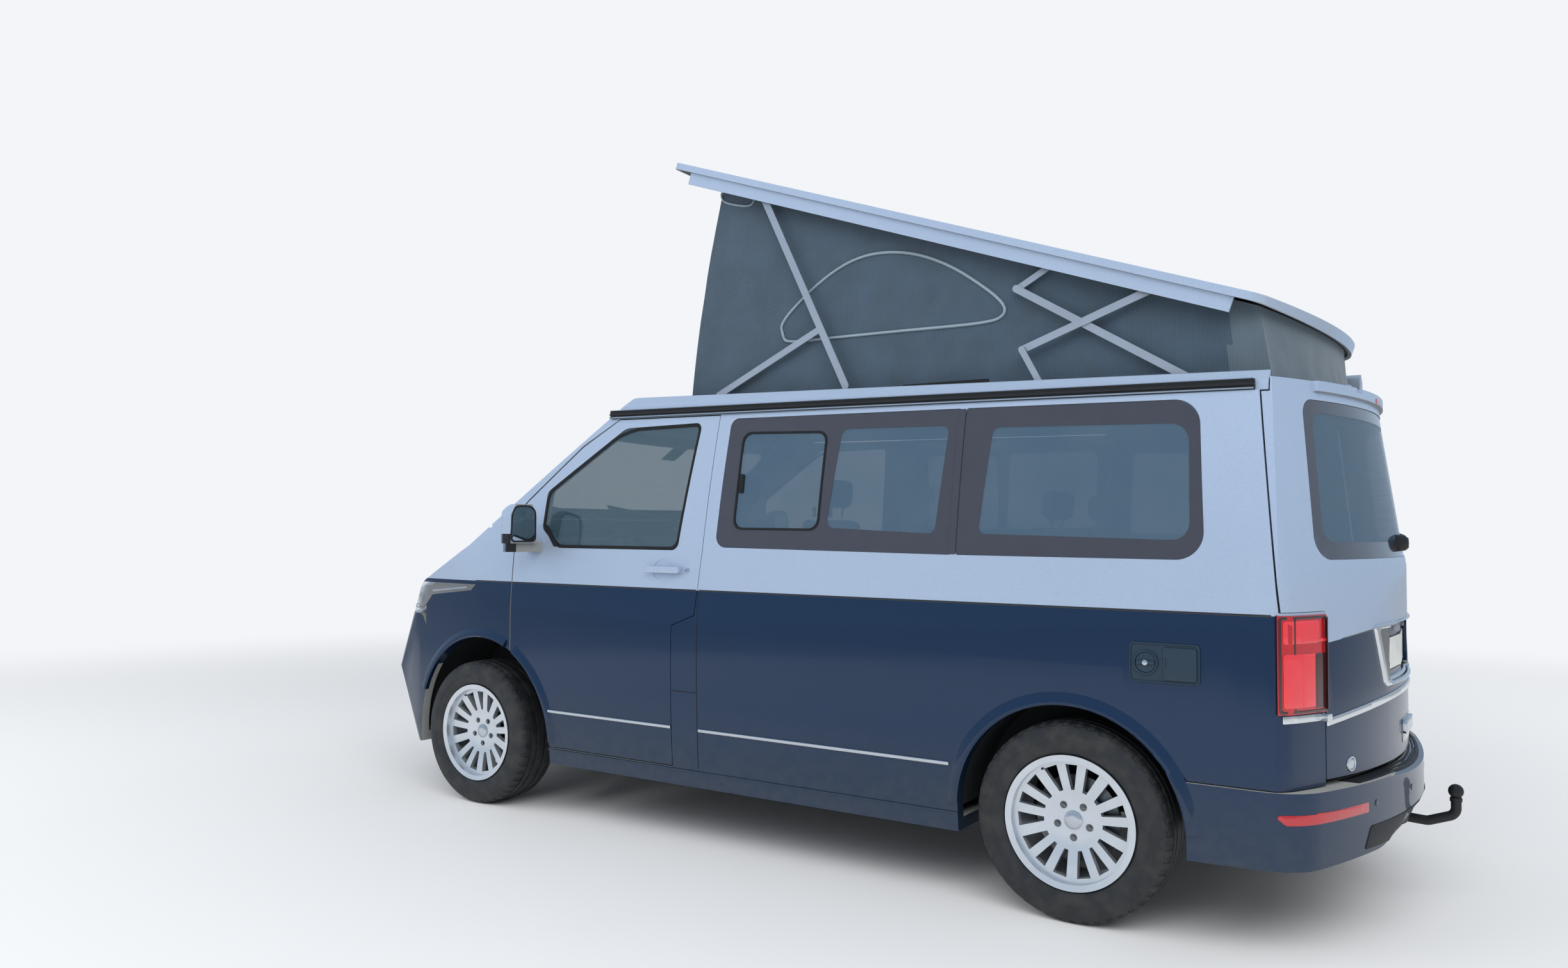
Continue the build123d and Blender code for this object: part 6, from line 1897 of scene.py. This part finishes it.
@dataclass
class Living:
    """Bench, kitchen and floor covering behind the cab."""

    nodes: dict[str, Any]

    def bench(self) -> None:
        """Two-seat bench with split pads, head rests and a box base."""
        for side, word in ((1.0, "left"), (-1.0, "right")):
            y = 278.0 * side
            Cushion("bench_base_" + word, (-872, y, 784), (580, 530, 100), -2, SEAT_CLOTH).build()
            Cushion("bench_back_" + word, (-1183, y, 1085), (85, 530, 590), -9, SEAT_CLOTH).build()
            Cushion("bench_head_rest_" + word, (-1232, y, 1452), (75, 230, 120), -8, SEAT_SIDE).build()
        base = joined(
            block(-1178, -624, -556, 556, 396, 722, 10), block(-626, -616, -540, -10, 420, 700, 4),
            block(-626, -616, 10, 540, 420, 700, 4),
        )
        make_piece(base, "bench_box", "body", TRIM_GREY)
        pulls = joined(*[block(-622, -606, y - 40, y + 40, 640, 656, 4) for y in (-275, 275)])
        make_piece(pulls, "bench_pulls", "body", SATIN_CHROME)
        posts = [
            swept([place(-1222, y + d, 1365), place(-1232, y + d, 1420)], tube_section(6), ASIDE)
            for y in (-278, 278)
            for d in (-60, 60)
        ]
        make_piece(joined(*posts), "bench_head_rest_posts", "body", SATIN_CHROME)

    def kitchen(self) -> None:
        """Worktop with its glass lid, door fronts, handles and tap."""
        top = block(-954, -36, 612, 850, 1236, 1254, 5)
        make_piece(top, "kitchen_worktop", "body", WORKTOP, "cabinet")
        lid = joined(block(-900, -500, 640, 820, 1255, 1262, 3), block(-460, -160, 640, 820, 1255, 1262, 3))
        make_piece(lid, "hob_and_sink_lids", "body", GLOSS_BLACK, "cabinet")
        fronts = []
        pulls = []
        for x0, x1, z0, z1 in (
            (-945, -640, 420, 800), (-945, -640, 812, 1222), (-632, -340, 420, 1222), (-332, -45, 420, 720),
            (-332, -45, 732, 1222),
        ):
            fronts.append(block(x0, x1, 604, 619.5, z0, z1, 4))
            pulls.append(block((x0 + x1) / 2 - 40, (x0 + x1) / 2 + 40, 596, 606, z1 - 36, z1 - 22, 3))
        make_piece(joined(*fronts), "kitchen_fronts", "body", LINING, "cabinet")
        make_piece(joined(*pulls), "kitchen_handles", "body", SATIN_CHROME, "cabinet")
        route = ((-130, 800, 1262), (-132, 800, 1330), (-170, 795, 1350), (-240, 790, 1340))
        tap = joined(
            turned([(0, 18), (14, 16), (16, 0), (0, 0)], place(-130, 800, 1254), UP, 20),
            swept([place(*spot) for spot in route], tube_section(8), ASIDE),
        )
        make_piece(tap, "kitchen_tap", "body", CHROME, "cabinet")

    def floor(self) -> None:
        """Vinyl floor with seat rails."""
        make_piece(block(-2320, 235, -590, 590, 395.4, 399, 1), "living_floor", "body", FLOOR)
        rails = joined(*[block(-2200, 180, y - 14, y + 14, 398, 403, 1) for y in (-520, -180, 180, 520)])
        make_piece(rails, "floor_rails", "body", ALUMINIUM)

    def build(self) -> None:
        """Build the living space."""
        self.bench()
        self.kitchen()
        self.floor()


@dataclass
class Works:
    """Engine covers, hoses, exhaust and underside parts."""

    def build(self) -> None:
        """Build what shows under the bonnet and under the floor."""
        cover = joined(
            block(1640, 1980, -240, 240, 858, 884, 14), block(1700, 1920, -180, -60, 880, 892, 8),
            block(1700, 1920, 60, 180, 880, 892, 8),
        )
        make_piece(cover, "engine_cover", "body", PLASTIC, "engine")
        tray = joined(block(1720, 1960, 455, 640, 800, 930, 12), block(1700, 1940, -640, -470, 780, 900, 14))
        make_piece(tray, "battery_and_air_box", "body", TRIM_GREY, "engine")
        hoses = [
            swept([place(*spot) for spot in spots], tube_section(radius, 12), UP)
            for radius, spots in (
                (22, ((2040, 300, 800), (2110, 250, 830), (2120, -200, 830), (2060, -330, 800))),
                (16, ((1700, -300, 868), (1640, -380, 890), (1600, -470, 870), (1640, -520, 840))),
            )
        ]
        make_piece(joined(*hoses), "coolant_hoses", "body", SEAL, "engine")
        route = (
            (1560, -180, 300), (1200, -170, 250), (700, -160, 262), (-300, -160, 262), (-900, -180, 262),
            (
                -1050, -220, 250
            ), (-1500, -230, 225), (-2000, -420, 250), (-2180, -500, 250), (-2260, -520, 232),
        )
        pipe = swept([place(*spot) for spot in route], tube_section(27, 16), UP)
        box = turned(
            [(0, 0), (70, 4), (88, 30), (88, 470), (70, 496), (0, 500)], place(-380, -160, 248),
            Vector((-1, 0, 0)), 32,
        )
        make_piece(joined(pipe, box), "exhaust", "body", STEEL, "steel")
        tank = joined(block(-600, 60, 120, 560, 226, 338, 26), block(240, 900, 200, 560, 240, 338, 22))
        make_piece(tank, "fuel_and_water_tanks", "body", PLASTIC, "underbody")
        springs = []
        for side in (1, -1):
            coil = []
            for i in range(6 * 14 + 1):
                a = math.tau * i / 14
                coil.append(
                    place(-1300 + 52 * math.cos(a), side * 560 + 52 * math.sin(a), 284 + 46.0 * i / 84),
                )
            springs.append(swept(coil, tube_section(6, 6), UP))
        make_piece(joined(*springs), "rear_springs", "body", STEEL, "steel")


def main() -> None:
    """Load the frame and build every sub-assembly in order."""
    logging.basicConfig(level=logging.INFO, format="%(message)s")
    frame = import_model()
    nodes = frame["nodes"]
    Studio().build()
    FrameFinishes(nodes).build()
    Tent().build()
    for corner, x, side in (
        ("front_left", 1500.0, 1.0), ("front_right", 1500.0, -1.0), ("rear_left", -1500.0, 1.0),
        ("rear_right", -1500.0, -1.0),
    ):
        Wheel(corner, x, side).build()
    Glazing(nodes).build()
    SideTrim(nodes).build()
    Tail(nodes).build()
    Nose(nodes).build()
    Cab(nodes).build()
    Living(nodes).build()
    Works().build()


if __name__ == "__main__":
    main()
